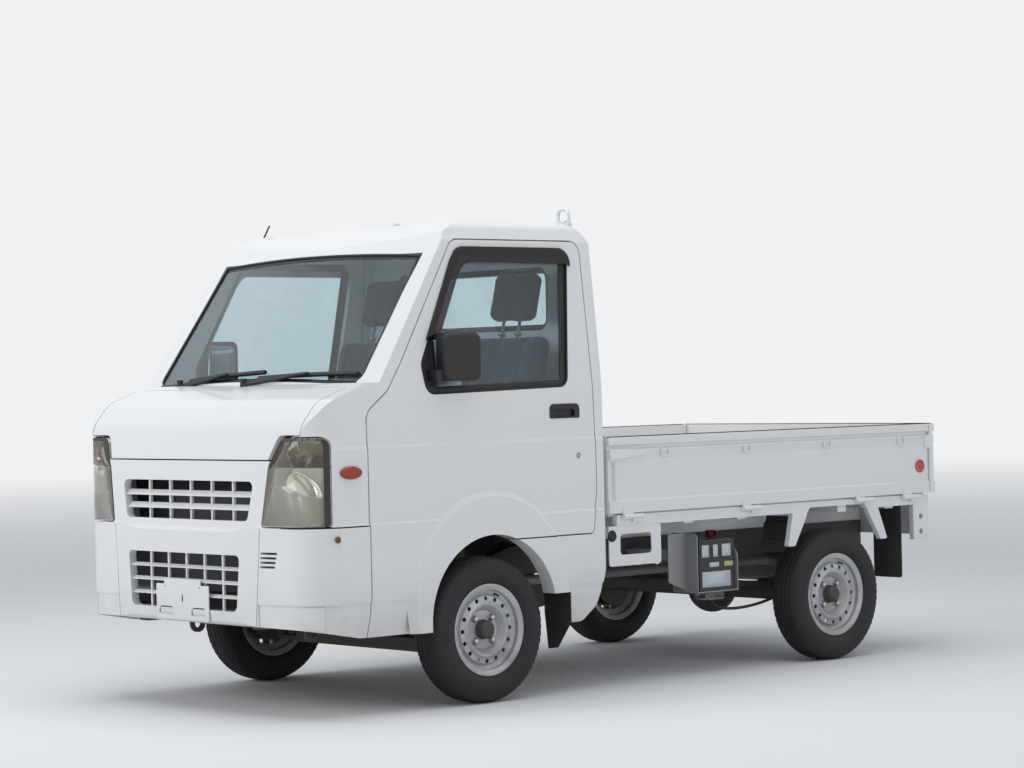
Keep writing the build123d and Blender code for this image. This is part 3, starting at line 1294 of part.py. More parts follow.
for name, side, y in wheel_table:
    x = side * HALF_TRACK
    with BuildPart() as rim:
        add(wheel_solid(rim_rows, x, y, side))
        with BuildSketch(Plane(origin=(x, y, AXLE_Z), z_dir=(side, 0, 0))):
            with PolarLocations(VENT_PITCH_R, VENT_COUNT):
                Circle(VENT_R)
        extrude(amount=HALF_RIM, mode=Mode.SUBTRACT)
    save(rim, "rim_" + name)
    with BuildPart() as tyre:
        add(wheel_solid(tyre_rows, x, y, side))
    save(tyre, "tyre_" + name)

# Bed deck on its sills, with the side rails, the hinge leaves and the rear posts
HINGE_X = GATE_OUT_X + 2.0
HINGE_Z = 648.0
HINGE_R = 10.0
HINGE_LEAF = 52.0
HINGE_SHARES = (0.064, 0.415, 0.776, 0.934)
DECK_WALL = 10.0
DECK_HALF = GATE_IN_X - SEAM
RAIL_SIDE_TOP = DECK_Z - 6.0
RAIL_SIDE_LOW = 614.0
RELIEF_Z = 632.0
RELIEF_HALF = 180.0
LEG_WALL = 22.0
LEG_LOW_Z = 481.0
POST_LOW_Z = 466.0
POST_LENGTH = 98.0
FLOOR_RIB = 3.0
RIB_COUNT = 15
RAIL_SIDE_X = HINGE_X - HINGE_R - 2.0
TAIL_FACE_Y = TAIL_Y - 9.0
TAIL_IN_FACE_Y = TAIL_FACE_Y - TAIL_WALL
TAIL_HINGE_Y = TAIL_FACE_Y + 2.0
GATE_REAR_Y = TAIL_IN_FACE_Y - SEAM
HEAD_WALL = 22.0
DECK_FRONT_Y = BED_FRONT_Y + HEAD_WALL + SEAT_GAP
DECK_BACK_Y = TAIL_IN_FACE_Y - SEAM
BEARER_SHARES = (0.085, 0.244, 0.403, 0.563, 0.722, 0.881)
BED_LENGTH = DECK_BACK_Y - BED_FRONT_Y
SILL_WALL = 50.0
BEARER_Z = 604.0


def hinge_barrel_x(side, y, length):
    """Round hinge barrel along a side gate's lower edge."""
    with BuildPart() as barrel:
        with BuildSketch(Plane(origin=(side * HINGE_X, y, HINGE_Z), z_dir=(0, 1, 0))):
            Circle(HINGE_R)
        extrude(amount=length)
    return barrel.part


# Side rail under each gate, its legs round the rear wheel and the post at the rear: y, z, corner radius
side_rail_rows = [
    (BED_FRONT_Y + 45, RAIL_SIDE_LOW, 4),
    (BED_FRONT_Y + 45, RAIL_SIDE_TOP, 4),
    (DECK_BACK_Y, RAIL_SIDE_TOP, 0),
    (DECK_BACK_Y, RAIL_SIDE_LOW, 0),
    (REAR_AXLE_Y + RELIEF_HALF, RAIL_SIDE_LOW, 8),
    (REAR_AXLE_Y + RELIEF_HALF - 12, RELIEF_Z, 8),
    (REAR_AXLE_Y - RELIEF_HALF + 12, RELIEF_Z, 8),
    (REAR_AXLE_Y - RELIEF_HALF, RAIL_SIDE_LOW, 8),
]
front_leg_rows = [
    (REAR_AXLE_Y - 268, RAIL_SIDE_LOW + 10, 0),
    (REAR_AXLE_Y - 302, LEG_LOW_Z, 6),
    (REAR_AXLE_Y - 260, LEG_LOW_Z, 6),
    (REAR_AXLE_Y - 186, RAIL_SIDE_LOW - 12, 30),
    (REAR_AXLE_Y - 184, RAIL_SIDE_LOW + 10, 0),
]
rear_leg_rows = [
    (REAR_AXLE_Y + 184, RAIL_SIDE_LOW + 10, 0),
    (REAR_AXLE_Y + 188, RAIL_SIDE_LOW - 8, 20),
    (REAR_AXLE_Y + 268, LEG_LOW_Z, 6),
    (REAR_AXLE_Y + 310, LEG_LOW_Z, 6),
    (REAR_AXLE_Y + 250, RAIL_SIDE_LOW + 10, 0),
]
post_rows = [
    (DECK_BACK_Y - POST_LENGTH, RAIL_SIDE_LOW + 10, 0),
    (DECK_BACK_Y - POST_LENGTH, POST_LOW_Z, 6),
    (DECK_BACK_Y, POST_LOW_Z, 6),
    (DECK_BACK_Y, RAIL_SIDE_LOW + 10, 0),
]
rib_pitch = 2 * DECK_HALF / (RIB_COUNT + 1)

with BuildPart() as deck:
    with Locations((0, (DECK_FRONT_Y + DECK_BACK_Y) / 2, DECK_Z - DECK_WALL / 2)):
        Box(2 * DECK_HALF, DECK_BACK_Y - DECK_FRONT_Y, DECK_WALL)
    with Locations((0, (DECK_FRONT_Y + DECK_BACK_Y) / 2, DECK_Z - FLOOR_RIB / 2)):
        with GridLocations(rib_pitch, 1, RIB_COUNT, 1):
            Box(rib_pitch * 0.4, DECK_BACK_Y - DECK_FRONT_Y - 90, FLOOR_RIB, mode=Mode.SUBTRACT)
    for share in BEARER_SHARES:
        with Locations((0, BED_FRONT_Y + share * BED_LENGTH, (BEARER_Z + DECK_Z - DECK_WALL) / 2)):
            Box(2 * DECK_HALF, 50, DECK_Z - DECK_WALL - BEARER_Z)
    for side in (1, -1):
        sill_z = (RAIL_TOP_Z + SEAT_GAP + DECK_Z - DECK_WALL) / 2
        with Locations((side * RAIL_X, (DECK_FRONT_Y + FRAME_BACK_Y) / 2, sill_z)):
            Box(SILL_WALL, FRAME_BACK_Y - DECK_FRONT_Y, DECK_Z - DECK_WALL - RAIL_TOP_Z - SEAT_GAP)
        rail_out = Plane.YZ.offset(side * RAIL_SIDE_X)
        extrude(outline(rail_out, side_rail_rows), amount=-side * (RAIL_SIDE_X - DECK_HALF))
        for rows in (front_leg_rows, rear_leg_rows, post_rows):
            extrude(outline(rail_out, rows), amount=-side * LEG_WALL)
        with BuildSketch(rail_out):
            with Locations(
                    (DECK_BACK_Y - POST_LENGTH / 2, POST_LOW_Z + 34),
                    (DECK_BACK_Y - POST_LENGTH / 2, POST_LOW_Z + 96)):
                Circle(12)
        extrude(amount=-side * LEG_WALL, mode=Mode.SUBTRACT)
        for share in HINGE_SHARES:
            y = BED_FRONT_Y + share * BED_LENGTH
            add(hinge_barrel_x(side, y + PIN_GAP, HINGE_LEAF))
            with Locations((side * (RAIL_SIDE_X + HINGE_X) / 2, y + PIN_GAP + HINGE_LEAF / 2, HINGE_Z - 10)):
                Box(HINGE_X - RAIL_SIDE_X, HINGE_LEAF, 20)
    for x in (-500, 0, 500):
        with BuildSketch(Plane(origin=(x + PIN_GAP, TAIL_HINGE_Y, HINGE_Z), z_dir=(1, 0, 0))):
            Circle(HINGE_R)
        extrude(amount=HINGE_LEAF)
        with Locations((x + PIN_GAP + HINGE_LEAF / 2, (TAIL_HINGE_Y + DECK_BACK_Y) / 2 - 6, HINGE_Z)):
            Box(HINGE_LEAF, TAIL_HINGE_Y - DECK_BACK_Y + 12, 2 * (DECK_Z - DECK_WALL + 3 - HINGE_Z))
    with Locations((0, DECK_BACK_Y - 30, 550)):
        Box(2 * RAIL_SIDE_X, 8, 130)
save(deck, "deck")

# Side gates: one pressed section, with hinge barrels along the bottom
gate_rows = [
    # in from the outer face, up from the deck, corner radius
    (0, 1, 2),
    (0, 46, 3),
    (7, 52, 3),
    (7, 205, 8),
    (3, 240, 6),
    (12, 248, 3),
    (12, 257, 3),
    (0, 261, 3),
    (0, GATE_HEIGHT, 3),
    (GATE_WALL, GATE_HEIGHT, 3),
    (GATE_WALL, 1, 2),
]
HOOK_SHARES = (0.16, 0.405, 0.658, 0.904)
HOOK_HALF = 20.0
HOOK_LOW_Z = DECK_Z + 214.0
HOOK_TOP_Z = DECK_Z + 238.0
HOOK_ROD_R = 3.5
LATCH_SINK = 14.0
LATCH_PROUD = 5.0
# Front latch lever and rear keeper: y, z, corner radius
latch_rows = [
    (BED_FRONT_Y + 2, DECK_Z + 206, 5),
    (BED_FRONT_Y + 2, DECK_Z + 246, 5),
    (BED_FRONT_Y + 70, DECK_Z + 246, 8),
    (BED_FRONT_Y + 196, DECK_Z + 240, 6),
    (BED_FRONT_Y + 196, DECK_Z + 222, 6),
    (BED_FRONT_Y + 70, DECK_Z + 210, 8),
]
keeper_rows = [
    (GATE_REAR_Y - 26, DECK_Z + 190, 4),
    (GATE_REAR_Y - 26, DECK_Z + 246, 4),
    (GATE_REAR_Y, DECK_Z + 246, 0),
    (GATE_REAR_Y, DECK_Z + 190, 0),
]


def rope_hook(side, y):
    """Bent rod loop on a gate's outer face."""
    inner = side * (GATE_OUT_X - LATCH_SINK)
    outer = side * (GATE_OUT_X + 1.5)
    with BuildPart() as hook:
        with BuildLine() as path:
            FilletPolyline(
                (inner, y - HOOK_HALF, HOOK_TOP_Z),
                (outer, y - HOOK_HALF, HOOK_TOP_Z),
                (outer, y - HOOK_HALF, HOOK_LOW_Z),
                (outer, y + HOOK_HALF, HOOK_LOW_Z),
                (outer, y + HOOK_HALF, HOOK_TOP_Z),
                (inner, y + HOOK_HALF, HOOK_TOP_Z),
                radius=5)
        with BuildSketch(Plane(origin=path.line @ 0, z_dir=path.line % 0)):
            Circle(HOOK_ROD_R)
        sweep(path=path.line)
    return hook.part


for side, name in ((1, "left"), (-1, "right")):
    with BuildPart() as gate:
        rows = [(side * (GATE_OUT_X - row[0]), DECK_Z + row[1], row[2]) for row in gate_rows]
        extrude(outline(Plane.XZ.offset(-GATE_REAR_Y), rows), amount=GATE_REAR_Y - BED_FRONT_Y)
        with Locations((side * GATE_OUT_X, BED_FRONT_Y + 26, DECK_Z + 125)):
            Box(16, 6, 140)
        for share in HINGE_SHARES:
            y = BED_FRONT_Y + share * BED_LENGTH
            add(hinge_barrel_x(side, y - HINGE_LEAF, HINGE_LEAF))
            with Locations((side * (GATE_OUT_X + 1), y - HINGE_LEAF / 2, HINGE_Z + 18)):
                Box(6, HINGE_LEAF, 36)
        for share in HOOK_SHARES:
            add(rope_hook(side, BED_FRONT_Y + share * BED_LENGTH))
        lever = Plane.YZ.offset(side * (GATE_OUT_X - LATCH_SINK))
        extrude(outline(lever, latch_rows), amount=side * (LATCH_SINK + LATCH_PROUD))
        extrude(outline(lever, keeper_rows), amount=side * (LATCH_SINK + LATCH_PROUD))
    save(gate, "gate_" + name)

with BuildPart() as tailgate:
    rows = [(TAIL_FACE_Y - row[0], DECK_Z + row[1], row[2]) for row in gate_rows[:-2]]
    rows = rows + [(TAIL_IN_FACE_Y, DECK_Z + GATE_HEIGHT, 3), (TAIL_IN_FACE_Y, DECK_Z + 1, 2)]
    extrude(outline(Plane.YZ, rows), amount=GATE_OUT_X, both=True)
    for x in (-500, 0, 500):
        with BuildSketch(Plane(origin=(x, TAIL_HINGE_Y, HINGE_Z), z_dir=(-1, 0, 0))):
            Circle(HINGE_R)
        extrude(amount=HINGE_LEAF)
        with Locations((x - HINGE_LEAF / 2, TAIL_FACE_Y + 1, HINGE_Z + 18)):
            Box(HINGE_LEAF, 6, 36)
save(tailgate, "tailgate")

# Headboard behind the cab, with the guard frame and its two rope hoops
GUARD_X = 496.0
HOOP_HALF = 36.0
HOOP_TOP_Z = 1837.0
GUARD_TOP_Z = 1776.0
HOOP_R = 7.0
guard_y = BED_FRONT_Y + HEAD_WALL / 2
with BuildPart() as guard_frame:
    with Locations((0, guard_y, (DECK_Z + 1 + GATE_TOP_Z) / 2)):
        Box(2 * DECK_HALF, HEAD_WALL, GATE_HEIGHT - 1)
    with Locations((0, guard_y, (DECK_Z + BEARER_Z) / 2)):
        Box(2 * DECK_HALF - 60, HEAD_WALL, DECK_Z - BEARER_Z + 20)
    for side in (1, -1):
        with Locations((side * GUARD_X, guard_y, (GATE_TOP_Z + GUARD_TOP_Z) / 2)):
            Box(34, HEAD_WALL, GUARD_TOP_Z - GATE_TOP_Z + 20)
        with BuildLine() as hoop_path:
            FilletPolyline(
                (side * GUARD_X - HOOP_HALF + HOOP_R, guard_y, GUARD_TOP_Z - 20),
                (side * GUARD_X - HOOP_HALF + HOOP_R, guard_y, HOOP_TOP_Z - HOOP_R),
                (side * GUARD_X + HOOP_HALF - HOOP_R, guard_y, HOOP_TOP_Z - HOOP_R),
                (side * GUARD_X + HOOP_HALF - HOOP_R, guard_y, GUARD_TOP_Z - 20),
                radius=20)
        with BuildSketch(Plane(origin=hoop_path.line @ 0, z_dir=hoop_path.line % 0)):
            Circle(HOOP_R)
        sweep(path=hoop_path.line)
    for z in (1300, 1600, GUARD_TOP_Z - 10):
        with Locations((0, guard_y, z)):
            Box(2 * GUARD_X + 2 * HOOP_HALF, HEAD_WALL, 24)
save(guard_frame, "guard_frame")

# Tail lamps under the tailgate, behind the rear plate, each with two splits between its sections
LAMP_LOW_Z = 532.0
LAMP_HIGH_Z = 608.0
TAIL_LAMP_IN_X = 420.0
TAIL_LAMP_OUT_X = 678.0
TAIL_LAMP_Y = DECK_BACK_Y - 26.0 + SEAT_GAP
TAIL_LAMP_WALL = 44.0
with BuildPart() as tail_lamps:
    for side in (1, -1):
        with Locations((
                side * (TAIL_LAMP_IN_X + TAIL_LAMP_OUT_X) / 2,
                TAIL_LAMP_Y + TAIL_LAMP_WALL / 2,
                (LAMP_LOW_Z + LAMP_HIGH_Z) / 2)):
            Box(TAIL_LAMP_OUT_X - TAIL_LAMP_IN_X, TAIL_LAMP_WALL, LAMP_HIGH_Z - LAMP_LOW_Z)
    fillet(tail_lamps.faces().sort_by(Axis.Y)[-2:].edges(), radius=8)
    for side in (1, -1):
        for share in (0.36, 0.68):
            x = side * (TAIL_LAMP_IN_X + share * (TAIL_LAMP_OUT_X - TAIL_LAMP_IN_X))
            with Locations((x, TAIL_LAMP_Y + TAIL_LAMP_WALL, (LAMP_LOW_Z + LAMP_HIGH_Z) / 2)):
                Box(3, 8, LAMP_HIGH_Z, mode=Mode.SUBTRACT)
save(tail_lamps, "tail_lamps")

# Cover plate under the front of the left side rail, with its window
COVER_X = RAIL_SIDE_X - 6.0
COVER_WALL = 4.0
with BuildPart() as side_cover:
    cover_plane = Plane.YZ.offset(COVER_X)
    extrude(outline(cover_plane, [
        # y, z, corner radius
        (BED_FRONT_Y + 3, RAIL_SIDE_LOW - SEAT_GAP, 0),
        (BED_FRONT_Y + 3, 461, 12),
        (BED_FRONT_Y + 280, 461, 12),
        (BED_FRONT_Y + 280, RAIL_SIDE_LOW - SEAT_GAP, 0),
    ]), amount=COVER_WALL)
    extrude(outline(cover_plane, [
        (BED_FRONT_Y + 62, 503, 14),
        (BED_FRONT_Y + 62, 582, 14),
        (BED_FRONT_Y + 229, 582, 14),
        (BED_FRONT_Y + 229, 503, 14),
    ]), amount=COVER_WALL, mode=Mode.SUBTRACT)
save(side_cover, "side_cover")

# Battery on its tray, carried by an arm from the left rail
BATTERY_IN_X = 570.0
BATTERY_OUT_X = 699.0
BATTERY_FRONT_Y = FRONT_AXLE_Y + 1111.0
BATTERY_LENGTH = 199.0
BATTERY_LOW_Z = 330.0
BATTERY_HEIGHT = 202.0
LID_HEIGHT = 34.0
TRAY_WALL = 4.0
battery_x = (BATTERY_IN_X + BATTERY_OUT_X) / 2
battery_y = BATTERY_FRONT_Y + BATTERY_LENGTH / 2
battery_width = BATTERY_OUT_X - BATTERY_IN_X
battery_top_z = BATTERY_LOW_Z + BATTERY_HEIGHT
with BuildPart() as battery:
    with Locations((battery_x, battery_y, BATTERY_LOW_Z + BATTERY_HEIGHT / 2)):
        Box(battery_width - 6, BATTERY_LENGTH - 6, BATTERY_HEIGHT)
    with Locations((battery_x, battery_y, BATTERY_LOW_Z + BATTERY_HEIGHT - LID_HEIGHT / 2)):
        Box(battery_width, BATTERY_LENGTH, LID_HEIGHT)
    fillet(battery.edges().filter_by(Axis.Z), radius=3)
    for share in (0.13, 0.87):
        with Locations((BATTERY_IN_X + 26, BATTERY_FRONT_Y + share * BATTERY_LENGTH, battery_top_z)):
            Cylinder(9, 36)
    for cell in range(6):
        with Locations((battery_x + 14, BATTERY_FRONT_Y + (cell + 0.5) * BATTERY_LENGTH / 6, battery_top_z)):
            Cylinder(9, 6)
save(battery, "battery")

TRAY_LOW_Z = BATTERY_LOW_Z - SEAT_GAP - TRAY_WALL
TRAY_BACK_Y = BATTERY_FRONT_Y + BATTERY_LENGTH + 16
ARM_Y = BATTERY_FRONT_Y - 56.0
with BuildPart() as battery_tray:
    with Locations((battery_x, (BATTERY_FRONT_Y - 12 + TRAY_BACK_Y) / 2, TRAY_LOW_Z + TRAY_WALL / 2)):
        Box(battery_width + 8, TRAY_BACK_Y - BATTERY_FRONT_Y + 12, TRAY_WALL)
    extrude(outline(Plane.XZ.offset(-TRAY_BACK_Y), [
        # x, z, corner radius
        (BATTERY_IN_X - 4, TRAY_LOW_Z, 0),
        (BATTERY_OUT_X + 4, TRAY_LOW_Z, 0),
        (BATTERY_OUT_X + 4, 498, 45),
        (BATTERY_IN_X - 4, 498, 0),
    ]), amount=TRAY_WALL)
    extrude(outline(Plane.XZ.offset(-(BATTERY_FRONT_Y - 12)), [
        (BATTERY_IN_X - 4, TRAY_LOW_Z, 0),
        (BATTERY_OUT_X + 4, TRAY_LOW_Z, 0),
        (BATTERY_OUT_X + 4, 560, 20),
        (BATTERY_IN_X - 4, 560, 0),
    ]), amount=TRAY_WALL)
    extrude(outline(Plane.YZ.offset(battery_x), [
        # y, z, corner radius
        (BATTERY_FRONT_Y - 111, 372, 10),
        (BATTERY_FRONT_Y - 12, 335, 0),
        (BATTERY_FRONT_Y - 12, 560, 0),
        (BATTERY_FRONT_Y - 111, 560, 10),
    ]), amount=TRAY_WALL)
    arm_start = RAIL_X + RAIL_WIDTH / 2 + SEAT_GAP
    with Locations(((arm_start + battery_x + TRAY_WALL / 2) / 2, ARM_Y, RAIL_BOTTOM_Z + 45)):
        Box(battery_x + TRAY_WALL / 2 - arm_start, 60, 40)
save(battery_tray, "battery_tray")

# Mud flaps behind the front wheels and the guards before and behind the rear wheels
FLAP_WALL = 4.0
FRONT_FLAP_Y = FRONT_AXLE_Y + NOTCH_REAR - SEAT_GAP
REAR_FLAP_Y = REAR_AXLE_Y + 404.0
front_flap_rows = [
    # x, z, corner radius
    (719, NOTCH_Z - SEAT_GAP, 0),
    (719, 267, 8),
    (644, 168, 8),
    (592, 161, 8),
    (575, 300, 8),
    (575, NOTCH_Z - SEAT_GAP, 0),
]
rear_flap_rows = [
    # x, z, corner radius
    (568, RAIL_SIDE_LOW - SEAT_GAP, 0),
    (568, 311, 12),
    (719, 311, 12),
    (719, RAIL_SIDE_LOW - SEAT_GAP, 0),
]
WHEEL_GUARD_IN_X = 560.0
WHEEL_GUARD_LENGTH = RAIL_SIDE_X - LEG_WALL - SEAT_GAP - WHEEL_GUARD_IN_X
wheel_guard_line = [
    # y, z of the ribbed sheet, from its lower edge up
    (REAR_AXLE_Y - 292, 474),
    (REAR_AXLE_Y - 285, 503),
    (REAR_AXLE_Y - 275, 509),
    (REAR_AXLE_Y - 269, 535),
    (REAR_AXLE_Y - 275, 541),
    (REAR_AXLE_Y - 267, 572),
    (REAR_AXLE_Y - 257, 578),
    (REAR_AXLE_Y - 252, BEARER_Z - SEAT_GAP - FLAP_WALL / 2),
]
with BuildPart() as mud_flaps:
    for side in (1, -1):
        rows = [(side * row[0], row[1], row[2]) for row in front_flap_rows]
        extrude(outline(Plane.XZ.offset(-FRONT_FLAP_Y), rows), amount=FLAP_WALL)
        rows = [(side * row[0], row[1], row[2]) for row in rear_flap_rows]
        extrude(outline(Plane.XZ.offset(-REAR_FLAP_Y), rows), amount=FLAP_WALL)
        with BuildSketch(Plane.YZ.offset(side * WHEEL_GUARD_IN_X)):
            with BuildLine():
                Polyline(*wheel_guard_line)
            trace(line_width=FLAP_WALL)
        extrude(amount=side * WHEEL_GUARD_LENGTH)
save(mud_flaps, "mud_flaps")
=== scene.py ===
import math

import bmesh
import bpy
import numpy as np
from mathutils import Matrix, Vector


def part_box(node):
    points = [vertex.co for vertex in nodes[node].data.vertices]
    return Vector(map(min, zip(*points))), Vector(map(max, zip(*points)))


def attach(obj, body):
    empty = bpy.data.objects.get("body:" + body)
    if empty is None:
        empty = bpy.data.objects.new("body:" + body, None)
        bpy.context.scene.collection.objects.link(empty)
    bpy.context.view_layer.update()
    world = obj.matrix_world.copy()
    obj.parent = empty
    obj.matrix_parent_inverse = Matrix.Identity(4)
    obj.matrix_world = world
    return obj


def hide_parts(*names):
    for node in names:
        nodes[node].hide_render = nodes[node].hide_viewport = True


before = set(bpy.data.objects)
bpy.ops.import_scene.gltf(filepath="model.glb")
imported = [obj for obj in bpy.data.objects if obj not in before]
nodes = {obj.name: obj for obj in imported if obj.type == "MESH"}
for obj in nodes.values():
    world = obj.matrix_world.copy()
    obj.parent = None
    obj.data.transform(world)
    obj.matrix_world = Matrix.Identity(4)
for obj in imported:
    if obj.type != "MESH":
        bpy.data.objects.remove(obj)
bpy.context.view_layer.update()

# The picture is taken from the truck's front left quarter, from standing eye
# height with a long lens, and the camera leans a little to one side.
view_turn, view_lift, view_lean = math.radians(47.88), math.radians(0.17), math.radians(-1.29)
view_place = (8.4372, -7.6877, 1.1954)


def placed(name, data):
    """A new object with this data, put into the scene."""
    thing = bpy.data.objects.new(name, data)
    bpy.context.scene.collection.objects.link(thing)
    return thing


def unit(vector):
    """The vector at length 1."""
    return np.asarray(vector, float) / np.linalg.norm(vector)


def aimed(thing, across, upward, back, place):
    """Stands a camera or a lamp at its place, with its three directions as the columns of its matrix."""
    thing.matrix_world = Matrix([*np.column_stack([across, upward, back, place]).tolist(), (0, 0, 0, 1)])


back = np.array([
    math.sin(view_turn) * math.cos(view_lift),
    -math.cos(view_turn) * math.cos(view_lift),
    math.sin(view_lift),
])
right = unit(np.cross(-back, (0, 0, 1)))
up = np.cross(right, -back)
camera = placed("camera", bpy.data.cameras.new("camera"))
camera.data.sensor_width = 36.0
camera.data.lens = 99.41
camera.data.clip_end = 200.0
aimed(
    camera, math.cos(view_lean) * right + math.sin(view_lean) * up,
    math.cos(view_lean) * up - math.sin(view_lean) * right, back, view_place)
bpy.context.scene.camera = camera
bpy.context.scene.view_settings.view_transform = "Standard"

# The floor is a plain pale studio sheet that runs out of view, and the
# surround is as pale where the camera, glass and gloss see it. The floor turns
# into that surround between the two distances.
pale_grey = (0.87, 0.88, 0.89, 1)
haze_near, haze_far = 6.0, 26.0
floor_reach = 60


def mesh_piece(name, points, faces, material=None, body="truck"):
    """A smooth mesh object from its points and faces, with its material, riding on its body."""
    mesh = bpy.data.meshes.new(name)
    mesh.from_pydata(np.asarray(points).tolist(), [], [list(face) for face in faces])
    mesh.validate()
    mesh.shade_smooth()
    piece = placed(name, mesh)
    if material:
        mesh.materials.append(material)
    if body:
        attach(piece, body)
    return piece


def finish(name, colour, rough, metal=0.0, coat=0.0):
    """A material with its shader's plain values set, and its node tree."""
    material = bpy.data.materials.new(name)
    material.use_nodes = True
    shader = material.node_tree.nodes["Principled BSDF"]
    for key, value in (("Base Color", (*colour, 1)), ("Roughness", rough), ("Metallic", metal), ("Coat Weight", coat)):
        shader.inputs[key].default_value = value
    return material, material.node_tree, shader


def add(tree, kind, settings=(), **inputs):
    """A shader node with its settings, and its inputs by name: a node or a socket to link, or a value."""
    node = tree.nodes.new("ShaderNode" + kind)
    for key, value in dict(settings).items():
        setattr(node, key, value)
    for key, value in inputs.items():
        numbered = key[0] == "i" and key[1:].isdigit()
        socket = node.inputs[int(key[1:])] if numbered else node.inputs[key.replace("_", " ")]
        if isinstance(value, bpy.types.Node):
            value = value.outputs[0]
        if isinstance(value, bpy.types.NodeSocket):
            tree.links.new(value, socket)
        else:
            socket.default_value = value
    return node


def shown(tree, share, first, second, output="Material Output"):
    """Shows the first shader, and by the share the second."""
    blend = add(tree, "MixShader", i0=share, i1=first, i2=second)
    tree.links.new(blend.outputs[0], tree.nodes[output].inputs["Surface"])


def object_place(tree):
    """The socket that gives a point's place in Object coordinates."""
    return tree.nodes.new("ShaderNodeTexCoord").outputs["Object"]


def eye_rays(tree):
    """A node that gives 1 for a ray from the camera, off gloss or through glass, and 0 for a ray of light."""
    rays = tree.nodes.new("ShaderNodeLightPath").outputs
    beyond = add(tree, "Math", {"operation": "MAXIMUM"}, i0=rays["Is Glossy Ray"], i1=rays["Is Transmission Ray"])
    return add(tree, "Math", {"operation": "MAXIMUM"}, i0=rays["Is Camera Ray"], i1=beyond)


floor_sheet, tree, shader = finish("floor_sheet", (0.80, 0.80, 0.80), 0.95)
floor_corners = [(floor_reach * x, floor_reach * y, 0) for x, y in ((-1, -1), (1, -1), (1, 1), (-1, 1))]
floor = mesh_piece("floor", floor_corners, [(0, 1, 2, 3)], floor_sheet, body=None)
reach = add(tree, "VectorMath", {"operation": "LENGTH"}, i0=object_place(tree))
far = add(tree, "MapRange", Value=reach.outputs["Value"], From_Min=haze_near, From_Max=haze_far)
amount = add(tree, "Math", {"operation": "MULTIPLY"}, i0=far, i1=eye_rays(tree))
haze = add(tree, "Emission", Color=pale_grey, Strength=1.0)
shown(tree, amount, shader, haze)
surround = bpy.data.worlds.new("surround")
surround.use_nodes = True
bpy.context.scene.world = surround
tree = surround.node_tree
light_sky = tree.nodes["Background"]
light_sky.inputs["Color"].default_value = (0.86, 0.92, 1.0, 1)
light_sky.inputs["Strength"].default_value = 0.50
pale_sky = add(tree, "Background", Color=pale_grey, Strength=1.0)
shown(tree, eye_rays(tree), light_sky, pale_sky, "World Output")

# Three large soft lamps light the truck: one overhead, one in front and one at
# its left side.
lamp_table = [
    # name, place, aim, size, watts
    ("overhead", (0.5, -1.0, 6.5), (0, 0, 0.5), 6.0, 180),
    ("front", (-3.0, -8.5, 4.5), (0, 0, 0.8), 4.0, 245),
    ("side", (8.0, 1.0, 3.5), (0, 0, 0.8), 5.0, 70),
]
for name, place, aim, size, watts in lamp_table:
    lamp = placed(name, bpy.data.lights.new(name, "AREA"))
    lamp.data.size = size
    lamp.data.energy = watts
    away = unit(np.subtract(place, aim))
    side = unit(np.cross((0, 1, 0.01), away))
    aimed(lamp, side, np.cross(away, side), away, place)

# The frame, axles, struts, springs and tank are steel under black paint, the
# engine is a dark casting, and the exhaust and the battery's tray are zinc-
# coated sheet. Road dust lies on all of them, most of it low down.


def bumped(tree, shader, height, strength, distance):
    """Raises the surface by a height socket through the shader's normal."""
    bump = add(tree, "Bump", Strength=strength, Distance=distance, Height=height)
    tree.links.new(bump.outputs[0], shader.inputs["Normal"])


def two_tone(tree, shader, share, first, second):
    """Base colour: first * (1 - share) + second * share, with the share a socket."""
    tone = add(tree, "Mix", {"data_type": "RGBA"}, i0=share, i6=(*first, 1), i7=(*second, 1))
    tree.links.new(tone.outputs[2], shader.inputs["Base Color"])


def dusty_paint(name, colour, rough, coat, dust, dust_top, metal=0.0):
    """Paint in Object coordinates: colour * (1 - d) + dust * d, with d a noise that fades out up to dust_top."""
    material, tree, shader = finish(name, colour, rough, metal, coat)
    place = object_place(tree)
    height = add(tree, "SeparateXYZ", Vector=place).outputs["Z"]
    film = add(tree, "TexNoise", Vector=place, Scale=9.0, Detail=6.0, Roughness=0.65)
    low = add(tree, "MapRange", Value=height, From_Min=dust_top, From_Max=0.15)
    amount = add(tree, "Math", {"operation": "MULTIPLY"}, i0=low, i1=film.outputs["Fac"])
    two_tone(tree, shader, amount, colour, dust)
    gloss = add(tree, "MapRange", Value=amount, From_Max=0.6, To_Min=rough, To_Max=0.75)
    tree.links.new(gloss.outputs[0], shader.inputs["Roughness"])
    ripple = add(tree, "TexNoise", Vector=place, Scale=160.0, Detail=2.0)
    bumped(tree, shader, ripple.outputs["Fac"], 0.03, 0.002)
    return material


def coat_nodes(material, *names):
    """Gives CAD nodes this material in place of their own."""
    for name in names:
        nodes[name].data.materials.clear()
        nodes[name].data.materials.append(material)


coat_nodes(
    dusty_paint("frame_paint", (0.03, 0.03, 0.032), 0.5, 0.0, (0.14, 0.125, 0.11), 0.9),
    "frame_rails", "cross_members", "front_suspension", "struts", "rear_axle", "knuckle_left",
    "knuckle_right", "fuel_tank")
coat_nodes(dusty_paint("engine_cast", (0.06, 0.06, 0.06), 0.6, 0.0, (0.12, 0.105, 0.09), 0.9), "engine")
zinc_sheet = dusty_paint("zinc_sheet", (0.34, 0.35, 0.36), 0.5, 0.0, (0.20, 0.18, 0.16), 0.7, metal=0.4)
coat_nodes(zinc_sheet, "battery_tray", "exhaust")

